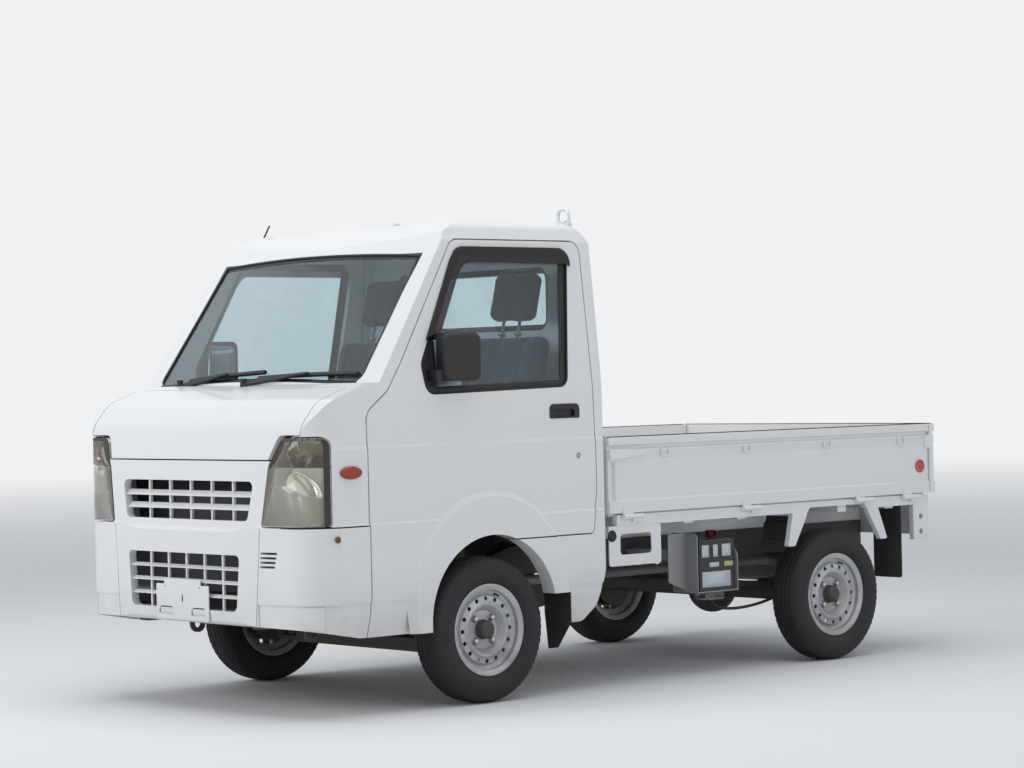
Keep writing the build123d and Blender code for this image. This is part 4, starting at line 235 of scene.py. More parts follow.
# The body panels are pressed and welded steel in white enamel, a little dusty
# near the sills.
body_enamel = dusty_paint("body_enamel", (0.78, 0.79, 0.80), 0.22, 0.5, (0.42, 0.39, 0.34), 0.55)
coat_nodes(
    body_enamel, "bumper", "front_panel", "hood", "fenders", "roof", "back_panel", "cowl", "cab_sides",
    "door_left", "door_right", "deck", "gate_left", "gate_right", "tailgate", "guard_frame", "side_cover",
    "plate_bracket")

# Tyres of a light truck: a rib tread with four zigzag grooves and shoulder
# sipes, and thin rings on the sidewall. Each replaces its plain CAD ring.
half_track, axle_height = 0.645, 0.268
tread_foot, shoulder_foot, ring_foot, ring_top = 0.2615, 0.247, 0.200, 0.244
groove_half, groove_depth, groove_wall = 0.0042, 0.0065, 0.0016
groove_places = (-0.034, -0.0125, 0.0125, 0.034)
zigzag_reach, pitch_count = 0.0022, 60
sipe_depth, ring_step, ring_pitch = 0.004, 0.0006, 900


def grained(name, colour, rough, scale, depth, metal=0.0):
    """Moulded surface in Object coordinates: a fine noise grain as bump and as a small change of roughness."""
    material, tree, shader = finish(name, colour, rough, metal)
    place = object_place(tree)
    grain = add(tree, "TexNoise", Vector=place, Scale=scale, Detail=3.0)
    bumped(tree, shader, grain.outputs["Fac"], depth, 0.001)
    wear = add(tree, "TexNoise", Vector=place, Scale=6.0, Detail=4.0)
    gloss = add(tree, "MapRange", Value=wear.outputs["Fac"], To_Min=rough - 0.08, To_Max=rough + 0.10)
    tree.links.new(gloss.outputs[0], shader.inputs["Roughness"])
    return material


def sheet_faces(rows, columns, wrap_rows=False, wrap_columns=False):
    """Quads of a grid of rows by columns of points, closed round either way."""
    i = np.arange(rows if wrap_rows else rows - 1)[:, None]
    j = np.arange(columns if wrap_columns else columns - 1)[None, :]
    a = i * columns + j
    b = i * columns + (j + 1) % columns
    c = ((i + 1) % rows) * columns + (j + 1) % columns
    d = ((i + 1) % rows) * columns + j
    return np.stack([a, b, c, d], axis=-1).reshape(-1, 4)


rubber = grained("tyre_black", (0.015, 0.015, 0.016), 0.75, 420.0, 0.25)
tyre_section = np.array([
    # station across, radius, millimetres
    (-48.0, 153.6), (-53.4, 169.4), (-58.0, 173.0), (-66.0, 184.0), (-71.6, 196.0), (-72.5, 206.0), (-72.3, 216.0),
    (-70.0, 228.0), (-67.0, 241.0), (-65.3, 246.0), (-62.0, 252.0), (-57.0, 258.5), (-52.0, 262.0), (-48.0, 263.8),
    (-44.0, 265.4), (-40.0, 266.7), (-36.0, 267.4), (-32.0, 267.8), (-29.0, 267.9), (-26.0, 268.0), (-23.0, 268.0),
    (-20.0, 268.0), (-17.0, 268.0), (-14.0, 268.0), (-11.0, 268.0), (-8.0, 268.0), (-4.0, 268.0), (0.0, 268.0),
])
tyre_section = np.concatenate([tyre_section, tyre_section[-2::-1] * (-1, 1)]) / 1000
wheel_places = [
    # name, side, axle station
    ("front_left", 1, -0.8325),
    ("front_right", -1, -0.8325),
    ("rear_left", 1, 1.0725),
    ("rear_right", -1, 1.0725),
]
# The tread is the turned section, less each groove within its half width of a
# triangle wave round the tyre, and less sipes where a sine passes a threshold.
turns = np.linspace(0, 2 * math.pi, 360, endpoint=False)[None, :]
station = tyre_section[:, :1] + 0 * turns
radius = tyre_section[:, 1:] + 0 * turns
zigzag = zigzag_reach * (2 / math.pi) * np.arcsin(np.sin(pitch_count * turns))
tread = np.clip((radius - tread_foot) / 0.003, 0, 1)
for middle in groove_places:
    away = np.abs(station - middle - zigzag)
    radius = radius - groove_depth * tread * np.clip((groove_half - away) / groove_wall, 0, 1)
sipes = np.clip(np.sin(pitch_count * turns) * 6 - 4.6, 0, 1)
shoulder = np.clip((np.abs(station) - 0.044) / 0.004, 0, 1) * np.clip((radius - shoulder_foot) / 0.006, 0, 1)
radius = radius - sipe_depth * sipes * shoulder
wall = np.clip((radius - ring_foot) / 0.01, 0, 1) * np.clip((ring_top - radius) / 0.01, 0, 1)
station = station - ring_step * np.sign(station) * wall * (np.cos((radius - ring_foot) * ring_pitch) > 0.4)
for name, side, axle_y in wheel_places:
    points = np.stack([
        side * (half_track + station),
        axle_y + radius * np.cos(turns),
        axle_height + radius * np.sin(turns),
    ], axis=-1)
    faces = sheet_faces(*station.shape, wrap_rows=True, wrap_columns=True)[:, ::-side]
    tyre = mesh_piece("tyre_tread_" + name, points.reshape(-1, 3), faces, rubber, "wheel_" + name)
    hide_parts("tyre_" + name)

# Pressed steel wheels in silver paint, brake dust in the dish. Each has four
# wheel nuts, a valve stem and the dark hub with its cap.
wheel_face, bolt_circle = 0.020, 0.0571
valve_face, valve_circle, valve_turn = 0.030, 0.136, 68
washer = [(-0.001, 0.0), (-0.001, 0.0145), (0.002, 0.0145), (0.005, 0.0118)]
hexagon = [(0.003, 0.0112), (0.015, 0.0112), (0.0172, 0.0090), (0.0172, 0.0)]
cap_shape = [
    (0.001, 0.037), (0.004, 0.037), (0.006, 0.034), (0.0265, 0.0332), (0.032, 0.030), (0.0345, 0.020), (0.035, 0.0),
]


def join_meshes(parts):
    """One list of points and one of faces from several (points, faces)."""
    points, faces = [], []
    for some, quads in parts:
        faces += [[int(k) + len(points) for k in quad] for quad in quads]
        points += list(some)
    return np.array(points), faces


def ring_mesh(rings, wrap_rows=False):
    """Points and faces of a skin over closed rings of as many points each."""
    rings = np.array(rings)
    return rings.reshape(-1, 3), sheet_faces(*rings.shape[:2], wrap_rows=wrap_rows, wrap_columns=True)


def off_axis(along):
    """A direction across the given one: up, or to the side where that is nearly upright."""
    return np.array((0.0, 0.0, 1.0) if abs(along[2]) < 0.9 else (1.0, 0.0, 0.0))


def circle(one, two, sides):
    """Points of a circle: cos a * one + sin a * two."""
    turns = np.linspace(0, 2 * math.pi, sides, endpoint=False)[:, None]
    return np.cos(turns) * one + np.sin(turns) * two


def tube(path, radius, sides=10, closed=False):
    """Round tube along a path: radius (cos a, sin a) in the plane across each point's direction, with end caps."""
    path = np.asarray(path, float)
    if closed:
        ahead = np.roll(path, -1, axis=0) - np.roll(path, 1, axis=0)
    else:
        ahead = np.gradient(path, axis=0)
    ahead /= np.linalg.norm(ahead, axis=1)[:, None]
    one = off_axis(ahead[0])
    rings = []
    for point, along in zip(path, ahead):
        one = unit(one - along * np.dot(one, along))
        rings.append(point + radius * circle(one, np.cross(along, one), sides))
    points, quads = ring_mesh(rings, wrap_rows=closed)
    ends = [] if closed else [list(range(sides))[::-1], list(range(len(points) - sides, len(points)))]
    return points, quads.tolist() + ends


def turned(rows, place, axis, sides=32):
    """Surface of revolution from rows of (station, radius): place + station axis + radius (cos a, sin a)."""
    axis = unit(axis)
    one = unit(np.cross(axis, off_axis(axis)))
    ring = circle(one, np.cross(axis, one), sides)
    return ring_mesh([np.asarray(place) + station * axis + radius * ring for station, radius in rows])


def on_wheel(side, axle_y, out, radius=0.0, turn=0.0):
    """Point on a wheel: out from its middle plane, and radius (cos turn, sin turn) from the axle, turn in degrees."""
    turn = math.radians(turn)
    rear, rise = radius * math.cos(turn), radius * math.sin(turn)
    return np.array((side * (half_track + out), axle_y + rear, axle_height + rise))


wheel_silver = dusty_paint("wheel_silver", (0.56, 0.57, 0.59), 0.30, 0.35, (0.16, 0.15, 0.14), 0.62, metal=0.55)
nut_steel = grained("nut_steel", (0.46, 0.46, 0.47), 0.33, 400.0, 0.08, metal=0.9)
hub_dark = grained("hub_dark", (0.05, 0.045, 0.04), 0.6, 60.0, 0.3)
for name, side, axle_y in wheel_places:
    body = "wheel_" + name
    coat_nodes(wheel_silver, "rim_" + name)
    axis = (side, 0, 0)
    nuts = []
    for turn in (45, 135, 225, 315):
        place = on_wheel(side, axle_y, wheel_face, bolt_circle, turn)
        nuts += [turned(washer, place, axis, 24), turned(hexagon, place, axis, 6)]
    mesh_piece("wheel_nuts_" + name, *join_meshes(nuts), nut_steel, body)
    cap = turned(cap_shape, on_wheel(side, axle_y, wheel_face), axis, 40)
    mesh_piece("hub_cap_" + name, *cap, hub_dark, body)
    place = on_wheel(side, axle_y, valve_face, valve_circle, valve_turn)
    forward = -0.004 * math.cos(math.radians(valve_turn))
    stem = tube([place, place + (side * 0.012, 0, 0), place + (side * 0.027, forward, -0.006)], 0.0036)
    mesh_piece("valve_" + name, *stem, rubber, body)

# Window glass is plate with a pale blue-grey tint, and the door visors are
# smoked acrylic. Light reaches through both by the Light Path's Is Shadow Ray,
# so that the seats behind them are lit.


def clear_sheet(name, colour, through, rough=0.0, clear=1.0):
    """Clear material: glass to the eye, and a plain tint to the rays that go to the lamps."""
    material, tree, shader = finish(name, colour, rough)
    shader.inputs["Transmission Weight"].default_value = clear
    shader.inputs["IOR"].default_value = 1.45
    rays = tree.nodes.new("ShaderNodeLightPath")
    tint = add(tree, "BsdfTransparent", Color=(*through, 1))
    shown(tree, rays.outputs["Is Shadow Ray"], shader, tint)
    return material


coat_nodes(
    clear_sheet("window_glass", (0.68, 0.78, 0.82), (0.70, 0.78, 0.80)), "windscreen", "rear_window",
    "door_glass_left", "door_glass_right")
coat_nodes(
    clear_sheet("smoked_acrylic", (0.10, 0.065, 0.075), (0.22, 0.17, 0.18), 0.04), "visor_left", "visor_right")

# The windscreen is bonded behind a black printed border, with a thin rubber
# moulding in the gap to the pillars, the roof and the cowl.
slope_back, slope_up = 0.5728, 0.8197
base_y, base_z = -1.3925, 1.182
bow_depth, bow_half = 0.056, 0.7575


def rounded(rows, fine=6):
    """Closed outline from rows of (across, up, radius): each corner an arc of fine steps."""
    rows = np.array(rows, float)
    found = []
    for (*here, radius), before, after in zip(rows, np.roll(rows, 1, axis=0), np.roll(rows, -1, axis=0)):
        before, after = before[:2] - here, after[:2] - here
        longest = 0.49 * min(np.linalg.norm(before), np.linalg.norm(after))
        before, after = unit(before), unit(after)
        half = math.acos(np.clip(np.dot(before, after), -1, 1)) / 2
        reach = min(radius / max(math.tan(half), 1e-6), longest)
        radius = reach * math.tan(half)
        centre = here + unit(before + after) * radius / max(math.sin(half), 1e-6)
        first, last = here + before * reach - centre, here + after * reach - centre
        start = math.atan2(first[1], first[0])
        sweep = (math.atan2(last[1], last[0]) - start + math.pi) % (2 * math.pi) - math.pi
        turns = start + sweep * np.arange(fine + 1) / fine
        found.append(centre + radius * np.stack([np.cos(turns), np.sin(turns)], axis=-1))
    return np.concatenate(found)


moulded_rubber = grained("moulded_rubber", (0.009, 0.009, 0.010), 0.60, 300.0, 0.12)
screen_print = grained("screen_print", (0.012, 0.013, 0.014), 0.16, 600.0, 0.02)


def on_screen(flat, height):
    """Points of the bowed windscreen: base + up the slope + inwards by 8 mm + 56 mm (x / 757.5 mm)^2 - height."""
    depth = 0.008 + bow_depth * (flat[:, 0] / bow_half) ** 2 - height
    return np.stack([
        flat[:, 0],
        base_y + slope_back * flat[:, 1] + slope_up * depth,
        base_z + slope_up * flat[:, 1] - slope_back * depth,
    ], axis=-1)


def fine_loop(loop, step=0.02):
    """The closed outline with points added so that no run is longer than a step."""
    found = []
    for here, ahead in zip(loop, np.roll(loop, -1, axis=0)):
        count = max(1, math.ceil(np.linalg.norm(ahead - here) / step))
        found += [here + (ahead - here) * k / count for k in range(count)]
    return np.array(found)


def band(loop, inward, place, low, high, crown=0.0, steps=5):
    """Closed strip along an outline, from it to the given distance inside it, between two heights off the surface."""
    ahead = np.roll(loop, -1, axis=0) - np.roll(loop, 1, axis=0)
    ahead /= np.linalg.norm(ahead, axis=1)[:, None]
    normal = np.stack([-ahead[:, 1], ahead[:, 0]], axis=-1)
    area = np.sum(loop[:, 0] * np.roll(loop[:, 1], -1) - loop[:, 1] * np.roll(loop[:, 0], -1))
    normal = normal * np.sign(area)
    reach = inward(loop) if callable(inward) else np.full(len(loop), inward)
    profile = [(t, high + crown * (1 - (2 * t - 1) ** 4)) for t in np.linspace(0, 1, steps)] + [(1, low), (0, low)]
    rows = [place(loop + normal * (t * reach)[:, None], height) for t, height in profile]
    return ring_mesh(rows, wrap_rows=True)


def mirrored(rows):
    """A symmetrical outline from the rows of its right-hand half, listed from the bottom up."""
    return rows + [(-row[0], row[1], row[2]) for row in reversed(rows)]


screen_loop = fine_loop(rounded(mirrored([(0.6195, 0.0145, 0.040), (0.5925, 0.5885, 0.012)])))
mesh_piece("screen_border", *band(screen_loop, 0.019, on_screen, 0.0002, 0.0009), screen_print)
mesh_piece("screen_moulding", *band(screen_loop, 0.007, on_screen, -0.004, 0.0045, 0.0025), moulded_rubber)

# The rear window sits in a rubber profile that is pressed onto the edge of the
# back panel's opening.
rear_loop = fine_loop(rounded(mirrored([(0.446, 1.368, 0.045), (0.446, 1.612, 0.045)])))
rear_glass_y = -0.2535


def on_back(flat, height):
    """Points of the cab's back panel, height standing out to the rear of the glass."""
    return np.stack([flat[:, 0], np.full(len(flat), rear_glass_y) + height, flat[:, 1]], axis=-1)


mesh_piece("rear_window_seal", *band(rear_loop, 0.022, on_back, -0.003, 0.004, 0.006), moulded_rubber)

# Each door window has a wide black seal and run channel round the glass, a
# rubber lip in the edge of the opening, and a moulded corner behind the mirror.
both_sides = ((1, "left"), (-1, "right"))
window_loop = fine_loop(rounded([
    (-0.285, 1.132, 0.045), (-0.303, 1.245, 0.060), (-0.112, 1.620, 0.001), (-0.080, 1.664, 0.045),
    (0.472, 1.664, 0.050), (0.411, 1.149, 0.045),
]) + (-0.8325, 0))
sail_loop = fine_loop(rounded([
    (-1.128, 1.150, 0.010), (-1.128, 1.245, 0.020), (-1.085, 1.330, 0.008), (-1.055, 1.330, 0.008),
    (-1.055, 1.150, 0.008),
]))
sail_middle = sail_loop.mean(axis=0)
door_face, door_foot, door_lean = 0.7145, 1.140, 0.059 / 0.554


def seal_width(loop):
    """The seal is 28 mm wide, and 44 mm at the rear run."""
    rear = np.clip((loop[:, 0] + 0.430 - 0.10 * (loop[:, 1] - 1.15)) / 0.03, 0, 1)
    return 0.028 + 0.016 * rear


for side, name in both_sides:
    def on_door(flat, height, side=side):
        """Points of the leaning door face: 714.5 mm - 59/554 (z - 1140 mm) out, less 12 mm, plus the height."""
        out = door_face - door_lean * (flat[:, 1] - door_foot) - 0.012 + height
        return np.stack([side * out, flat[:, 0], flat[:, 1]], axis=-1)

    seal = band(window_loop, seal_width, on_door, 0.0003, 0.0022, 0.003, steps=7)
    mesh_piece("window_seal_" + name, *seal, moulded_rubber, "door_" + name)
    lip = band(window_loop, 0.006, on_door, 0.0003, 0.0115, 0.0015)
    mesh_piece("window_lip_" + name, *lip, moulded_rubber, "door_" + name)
    sail_edge = band(sail_loop, 0.02, on_door, 0.0003, 0.0030, 0.0010)
    rings = [on_door(sail_middle + (sail_loop - sail_middle) * share, 0.0030) for share in (1.0, 0.5, 0.02)]
    corner = join_meshes([sail_edge, ring_mesh(rings)])
    mesh_piece("window_corner_" + name, *corner, moulded_rubber, "door_" + name)

# Headlamps: a clear hazed cover, smoky above the split, on a moulded housing
# with a chromed bowl and bulb below and the turn signal's own chamber above,
# sealed to the nose by a black gasket.
split_z = 0.890
cover_gap = 0.012
lamp_x, lamp_z, lamp_deep = 0.597, 0.783, 0.100
bowl_wide, bowl_high, bowl_deep = 0.098, 0.094, 0.066
signal_x, signal_z, signal_deep = 0.615, 0.944, 0.062
bulb_shape = [(0.0, 0.0), (0.0, 0.013), (0.020, 0.013), (0.022, 0.008), (0.046, 0.008), (0.050, 0.0)]
shade_shape = [(0.036, 0.0), (0.036, 0.012), (0.052, 0.012), (0.056, 0.006), (0.057, 0.0)]
signal_shape = [
    (0.0, 0.010), (-0.004, 0.030), (-0.018, 0.052), (-0.034, 0.058), (-0.036, 0.060), (-0.002, 0.032), (0.003, 0.010),
]
signal_bulb_shape = [
    (0.0, 0.0), (0.0, 0.011), (0.012, 0.011), (0.020, 0.0125), (0.032, 0.0105), (0.038, 0.005), (0.039, 0.0),
]
rib_rise, rib_thick = (0, 0.006, 0.006), (0, 0.0015, -0.0005)
rib_faces = [[3, 2, 1, 0], [4, 5, 6, 7], [0, 1, 5, 4], [1, 2, 6, 5], [2, 3, 7, 6], [3, 0, 4, 7]]
lamp_cover = clear_sheet("lamp_cover", (0.86, 0.85, 0.78), (0.94, 0.93, 0.88), 0.05, clear=0.90)
tree = lamp_cover.node_tree
height = add(tree, "SeparateXYZ", Vector=object_place(tree)).outputs["Z"]
upper = add(tree, "MapRange", Value=height, From_Min=split_z - 0.002, From_Max=split_z + 0.002)
two_tone(tree, tree.nodes["Principled BSDF"], upper, (0.92, 0.92, 0.87), (0.52, 0.47, 0.43))
lamp_chrome = grained("lamp_chrome", (0.86, 0.86, 0.83), 0.11, 60.0, 0.02, metal=1.0)
lamp_housing = grained("lamp_housing", (0.70, 0.67, 0.58), 0.35, 90.0, 0.10, metal=0.35)
lamp_edge = grained("lamp_edge", (0.03, 0.03, 0.03), 0.5, 90.0, 0.1)
bulb_smoke = grained("bulb_smoke", (0.16, 0.12, 0.10), 0.16, 200.0, 0.03, metal=0.3)


def walled(piece, thickness):
    """Gives a sheet its wall, inwards from the face."""
    wall = piece.modifiers.new("wall", "SOLIDIFY")
    wall.thickness = thickness
    wall.offset = -1


def lamp_shell(name, side, outer, material, thickness):
    """Piece from one headlamp's CAD faces: the outer face with the walls of its split, or the walls and back."""
    shape = bmesh.new()
    shape.from_mesh(nodes["headlamps"].data)
    bmesh.ops.remove_doubles(shape, verts=shape.verts, dist=0.00002)
    bmesh.ops.recalc_face_normals(shape, faces=shape.faces)
    gone = []
    for face in shape.faces:
        centre = face.calc_center_median()
        split = abs(face.normal.z) > 0.9 and abs(centre.z - split_z) < 0.006
        if centre.x * side <= 0 or (face.normal.y < -0.2 or split) != outer:
            gone.append(face)
    bmesh.ops.delete(shape, geom=gone, context="FACES")
    mesh = bpy.data.meshes.new(name)
    shape.to_mesh(mesh)
    shape.free()
    mesh.materials.append(material)
    piece = placed(name, mesh)
    walled(piece, thickness)
    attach(piece, "truck")
    return piece


def nose_y(x, z):
    """Distance of the nose skin behind the front end: the larger of its side view and its plan view."""
    side_view = np.interp(z, [0.679, 0.913, 1.040], [0.022, 0.034, 0.066])
    plan_view = np.interp(
        np.abs(x), [0.300, 0.600, 0.630, 0.650, 0.660, 0.670, 0.680, 0.690, 0.700, 0.7375],
        [0.0, 0.0408, 0.0511, 0.0621, 0.0691, 0.0773, 0.0871, 0.0988, 0.1132, 0.175])
    return -1.6975 + np.maximum(side_view, plan_view)


def behind_nose(points, gap):
    """The points, each drawn back to the nose skin plus the gap where it stands further forward."""
    points = np.array(points, float).reshape(-1, 3)
    points[:, 1] = np.maximum(points[:, 1], nose_y(points[:, 0], points[:, 2]) + gap)
    return points


def gasket_width(loop):
    """The gasket is 10 mm wide on the outer side and the top, and 2 mm on the inner side and below."""
    return np.where((loop[:, 0] > 0.700) | (loop[:, 1] > 0.984), 0.010, 0.002)


edge_loop = fine_loop(rounded([
    (0.457, 0.683, 0.012), (0.710, 0.683, 0.008), (0.710, 0.994, 0.025), (0.541, 0.994, 0.030),
    (0.491, split_z, 0.002),
]))
for side, name in both_sides:
    cover = lamp_shell("headlamp_cover_" + name, side, True, lamp_cover, 0.0022)
    cover.data.shade_smooth()
    lamp_shell("headlamp_housing_" + name, side, False, lamp_housing, 0.002)
    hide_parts("headlamps")

    # The bowl is a paraboloid, its depth falling with the square of the share of
    # its rim, and drawn back where it would come through the cover
    place = np.array((side * lamp_x, nose_y(lamp_x, 0.80) + lamp_deep, lamp_z))
    turns = np.linspace(0, 2 * math.pi, 48, endpoint=False)
    rings = []
    for share in np.linspace(0.12, 1.0, 12):
        x = side * (lamp_x + bowl_wide * share * np.cos(turns))
        z = lamp_z + bowl_high * share * np.sin(turns)
        rings.append(np.stack([x, place[1] - bowl_deep * share ** 2 + 0 * turns, z], axis=-1))
    points, quads = ring_mesh(rings)
    points = behind_nose(points, cover_gap + 0.001)
    bowl = mesh_piece("headlamp_bowl_" + name, points, quads, lamp_chrome)
    walled(bowl, 0.0015)
    bulb = [turned(rows, place, (0, -1, 0), 20) for rows in (bulb_shape, shade_shape)]
    mesh_piece("headlamp_bulb_" + name, *join_meshes(bulb), lamp_chrome)
    place = (side * signal_x, nose_y(0.60, 0.94) + signal_deep, signal_z)
    points, quads = turned(signal_shape, place, (0, 1, 0), 32)
    mesh_piece("signal_bowl_" + name, behind_nose(points, cover_gap), quads, lamp_chrome)
    mesh_piece("signal_bulb_" + name, *turned(signal_bulb_shape, place, (0, -1, 0), 20), bulb_smoke)

    # A shelf closes the chamber at the split, and five ribs stand under the bowl
    x = np.linspace(0.484, 0.692, 24)
    front = nose_y(x, split_z) + cover_gap
    rear = np.maximum(front + 0.004, -1.550)
    rings = [
        np.stack([side * x, y, split_z + rise + 0 * x], axis=-1)
        for y, rise in ((front, -0.002), (front, 0.002), (rear, 0.002), (rear, -0.002))]
    shelf = np.array(rings).reshape(-1, 3)
    mesh_piece("headlamp_shelf_" + name, shelf, sheet_faces(4, len(x), wrap_rows=True), lamp_housing)
    ribs = []
    for k in range(5):
        z = 0.704 + 0.0095 * k
        near = behind_nose([(side * 0.485, -1.70, z), (side * 0.600, -1.70, z)], cover_gap + 0.004 * k)
        rib = np.array([near[0], near[1], near[1] + rib_rise, near[0] + rib_rise])
        ribs.append((np.concatenate([rib, rib + rib_thick]), [face[::-side] for face in rib_faces]))
    mesh_piece("headlamp_ribs_" + name, *join_meshes(ribs), lamp_chrome)

    def on_nose(flat, height, side=side):
        """Points behind the nose skin by the height: the skin's own depth at (x, z) plus height."""
        return np.stack([side * flat[:, 0], nose_y(flat[:, 0], flat[:, 1]) + height, flat[:, 1]], axis=-1)

    rim = band(edge_loop, gasket_width, on_nose, 0.0040, -0.0004)
    mesh_piece("headlamp_rim_" + name, *rim, lamp_edge)

# Small lamps: amber markers on the fenders and three-part lamps at the tail,
# moulded in clear coloured plastic with ribs behind.


def ribbed(tree, shader, direction, scale):
    """Moulded ribs across one direction, as a bump and as the socket that it gives."""
    ribs = add(
        tree, "TexWave", {"bands_direction": direction}, Vector=object_place(tree), Scale=scale, Distortion=0.0)
    bumped(tree, shader, ribs.outputs["Fac"], 0.25, 0.002)
    return ribs.outputs["Fac"]


amber_lens, tree, shader = finish("amber_lens", (0.30, 0.045, 0.006), 0.16, coat=0.2)
two_tone(tree, shader, ribbed(tree, shader, "Y", 60.0), (0.26, 0.020, 0.002), (0.42, 0.040, 0.003))
coat_nodes(amber_lens, "marker_lamps")
tail_lens, tree, shader = finish("tail_lens", (0.4, 0.01, 0.01), 0.10, coat=0.8)
ribbed(tree, shader, "X", 50.0)
across = add(tree, "SeparateXYZ", Vector=object_place(tree)).outputs["X"]
outward = add(tree, "Math", {"operation": "ABSOLUTE"}, i0=across)
third = add(tree, "MapRange", Value=outward, From_Min=0.420, From_Max=0.678)
sections = add(tree, "ValToRGB", Fac=third)
ramp = sections.color_ramp
ramp.interpolation = "CONSTANT"
ramp.elements[0].color = (0.62, 0.62, 0.60, 1)
ramp.elements[1].position = 0.36
ramp.elements[1].color = (0.42, 0.008, 0.008, 1)
ramp.elements.new(0.68).color = (0.60, 0.13, 0.012, 1)
tree.links.new(sections.outputs["Color"], shader.inputs["Base Color"])
coat_nodes(tail_lens, "tail_lamps")

# Black moulded parts: mirrors, door handles, wipers and the battery's case, and
# the rubber mud flaps. A silvered glass is clipped into each mirror, and a
# steel lock barrel is set in each door.
black_plastic = grained("black_plastic", (0.011, 0.011, 0.012), 0.50, 260.0, 0.18)
coat_nodes(
    black_plastic, "mirror_left", "mirror_right", "door_handle_left", "door_handle_right", "wipers",
    "steering_column")
coat_nodes(grained("battery_case", (0.022, 0.022, 0.023), 0.38, 200.0, 0.10), "battery")
coat_nodes(dusty_paint("flap_rubber", (0.018, 0.018, 0.018), 0.7, 0.0, (0.07, 0.062, 0.055), 0.75), "mud_flaps")
mirror_silver = dusty_paint("mirror_silver", (0.75, 0.77, 0.78), 0.03, 0.0, (0.40, 0.39, 0.37), 1.40, metal=1.0)
lock_steel = grained("lock_steel", (0.42, 0.42, 0.41), 0.29, 500.0, 0.06, metal=0.9)
mirror_x, mirror_y, mirror_z = 0.7149, -0.9805, 1.268
mirror_loop = rounded([(x * 0.072, z * 0.070, 0.020) for x, z in ((-1, -1), (1, -1), (1, 1), (-1, 1))])
mirror_rings = ((1.0, 0.0), (1.0, 0.002), (0.97, 0.003), (0.5, 0.003), (0.01, 0.003))
barrel_shape = [
    (-0.008, 0.0), (-0.008, 0.0085), (0.0005, 0.0085), (0.0015, 0.0075), (0.0015, 0.0022), (0.0003, 0.0020),
    (0.0003, 0.0),
]
for side, name in both_sides:
    def on_mirror(flat, height, side=side):
        """Points on the mirror's face, which is folded in towards the door glass."""
        x = np.full(len(flat), side * (mirror_x - height))
        return np.stack([x, flat[:, 0] + mirror_y, flat[:, 1] + mirror_z], axis=-1)

    mirror = ring_mesh([on_mirror(mirror_loop * share, height) for share, height in mirror_rings])
    mesh_piece("mirror_glass_" + name, *mirror, mirror_silver, "door_" + name)
    barrel = turned(barrel_shape, (side * 0.7205, -0.3835, 0.891), (side, 0, 0), 28)
    mesh_piece("door_lock_" + name, *barrel, lock_steel, "door_" + name)

# Rubber strips along the tops of the gates and the headboard, where a load
# rests on them.


def block(centre, size, bevel):
    """Box with its edges cut back: each face is drawn in by the bevel along its own two directions."""
    half = np.asarray(size, float) / 2
    around = ((-1, -1), (1, -1), (1, 1), (-1, 1))
    points, faces, at = [], [], {}

    def corner(axis, end, first, second):
        """The signs of a corner, from its end of an axis and its sides along the next two."""
        return tuple(np.roll((end, first, second), axis).tolist())

    for axis in range(3):
        for end in (-1, 1):
            faces.append([len(points) + k for k in range(4)][::end])
            for first, second in around:
                drawn = half - bevel
                drawn[axis] = half[axis]
                signs = corner(axis, end, first, second)
                at[axis, signs] = len(points)
                points.append(np.asarray(centre) + signs * drawn)
    for signs in sorted({signs for axis, signs in at}):
        faces.append([at[axis, signs] for axis in range(3)][::int(np.prod(signs))])
    for axis in range(3):
        one, two = (axis + 1) % 3, (axis + 2) % 3
        for a, b in sorted(around):
            low, high = corner(axis, -1, a, b), corner(axis, 1, a, b)
            faces.append([at[one, low], at[one, high], at[two, high], at[two, low]][::a * b])
    return np.array(points), faces


strip_table = [
    # name, body, centre, size
    ("gate_strip_left", "gate_left", (0.716, 0.7095, 0.9530), (0.024, 1.860, 0.004)),
    ("gate_strip_right", "gate_right", (-0.716, 0.7095, 0.9530), (0.024, 1.860, 0.004)),
    ("tailgate_strip", "tailgate", (0, 1.6725, 0.9530), (1.440, 0.024, 0.004)),
    ("headboard_strip", "truck", (0, -0.2215, 0.9540), (1.380, 0.018, 0.004)),
]
for name, body, centre, size in strip_table:
    mesh_piece(name, *block(centre, size, 0.0012), moulded_rubber, body)

# Round red reflectors near the rear ends of the side gates: moulded plastic
# with prisms behind, screwed on.
reflector_red, tree, shader = finish("reflector_red", (0.50, 0.012, 0.010), 0.12, coat=0.9)
prisms = add(tree, "TexVoronoi", Vector=object_place(tree), Scale=260.0)
bumped(tree, shader, prisms.outputs["Distance"], 0.35, 0.001)
disc_shape = [
    (-0.002, 0.0), (-0.002, 0.0275), (0.004, 0.0275), (0.0055, 0.0255), (0.0045, 0.0245), (0.006, 0.012),
    (0.0065, 0.0),
]
for side, name in both_sides:
    disc = turned(disc_shape, (side * 0.7242, 1.5965, 0.775), (side, 0, 0), 40)
    mesh_piece("side_reflector_" + name, *disc, reflector_red, "gate_" + name)

# A rubber plug in the side cover and a weathered screw at each end of the
# bumper's upper edge.
plug = turned([
    (-0.004, 0.0), (-0.004, 0.018), (0.0003, 0.018), (0.0003, 0.0225), (0.003, 0.0215), (0.0045, 0.015), (0.005, 0.0),
], (0.719, -0.2145, 0.577), (1, 0, 0), 32)
mesh_piece("cover_plug", *plug, moulded_rubber)
worn_screw = grained("worn_screw", (0.16, 0.075, 0.035), 0.65, 500.0, 0.4, metal=0.4)
screw_shape = [(-0.003, 0.0), (-0.003, 0.0115), (0.002, 0.0115), (0.0045, 0.0085), (0.005, 0.0)]
for side, name in both_sides:
    head = turned(screw_shape, (side * 0.7275, -1.5485, 0.637), (side, 0, 0), 24)
    mesh_piece("bumper_screw_" + name, *head, worn_screw)

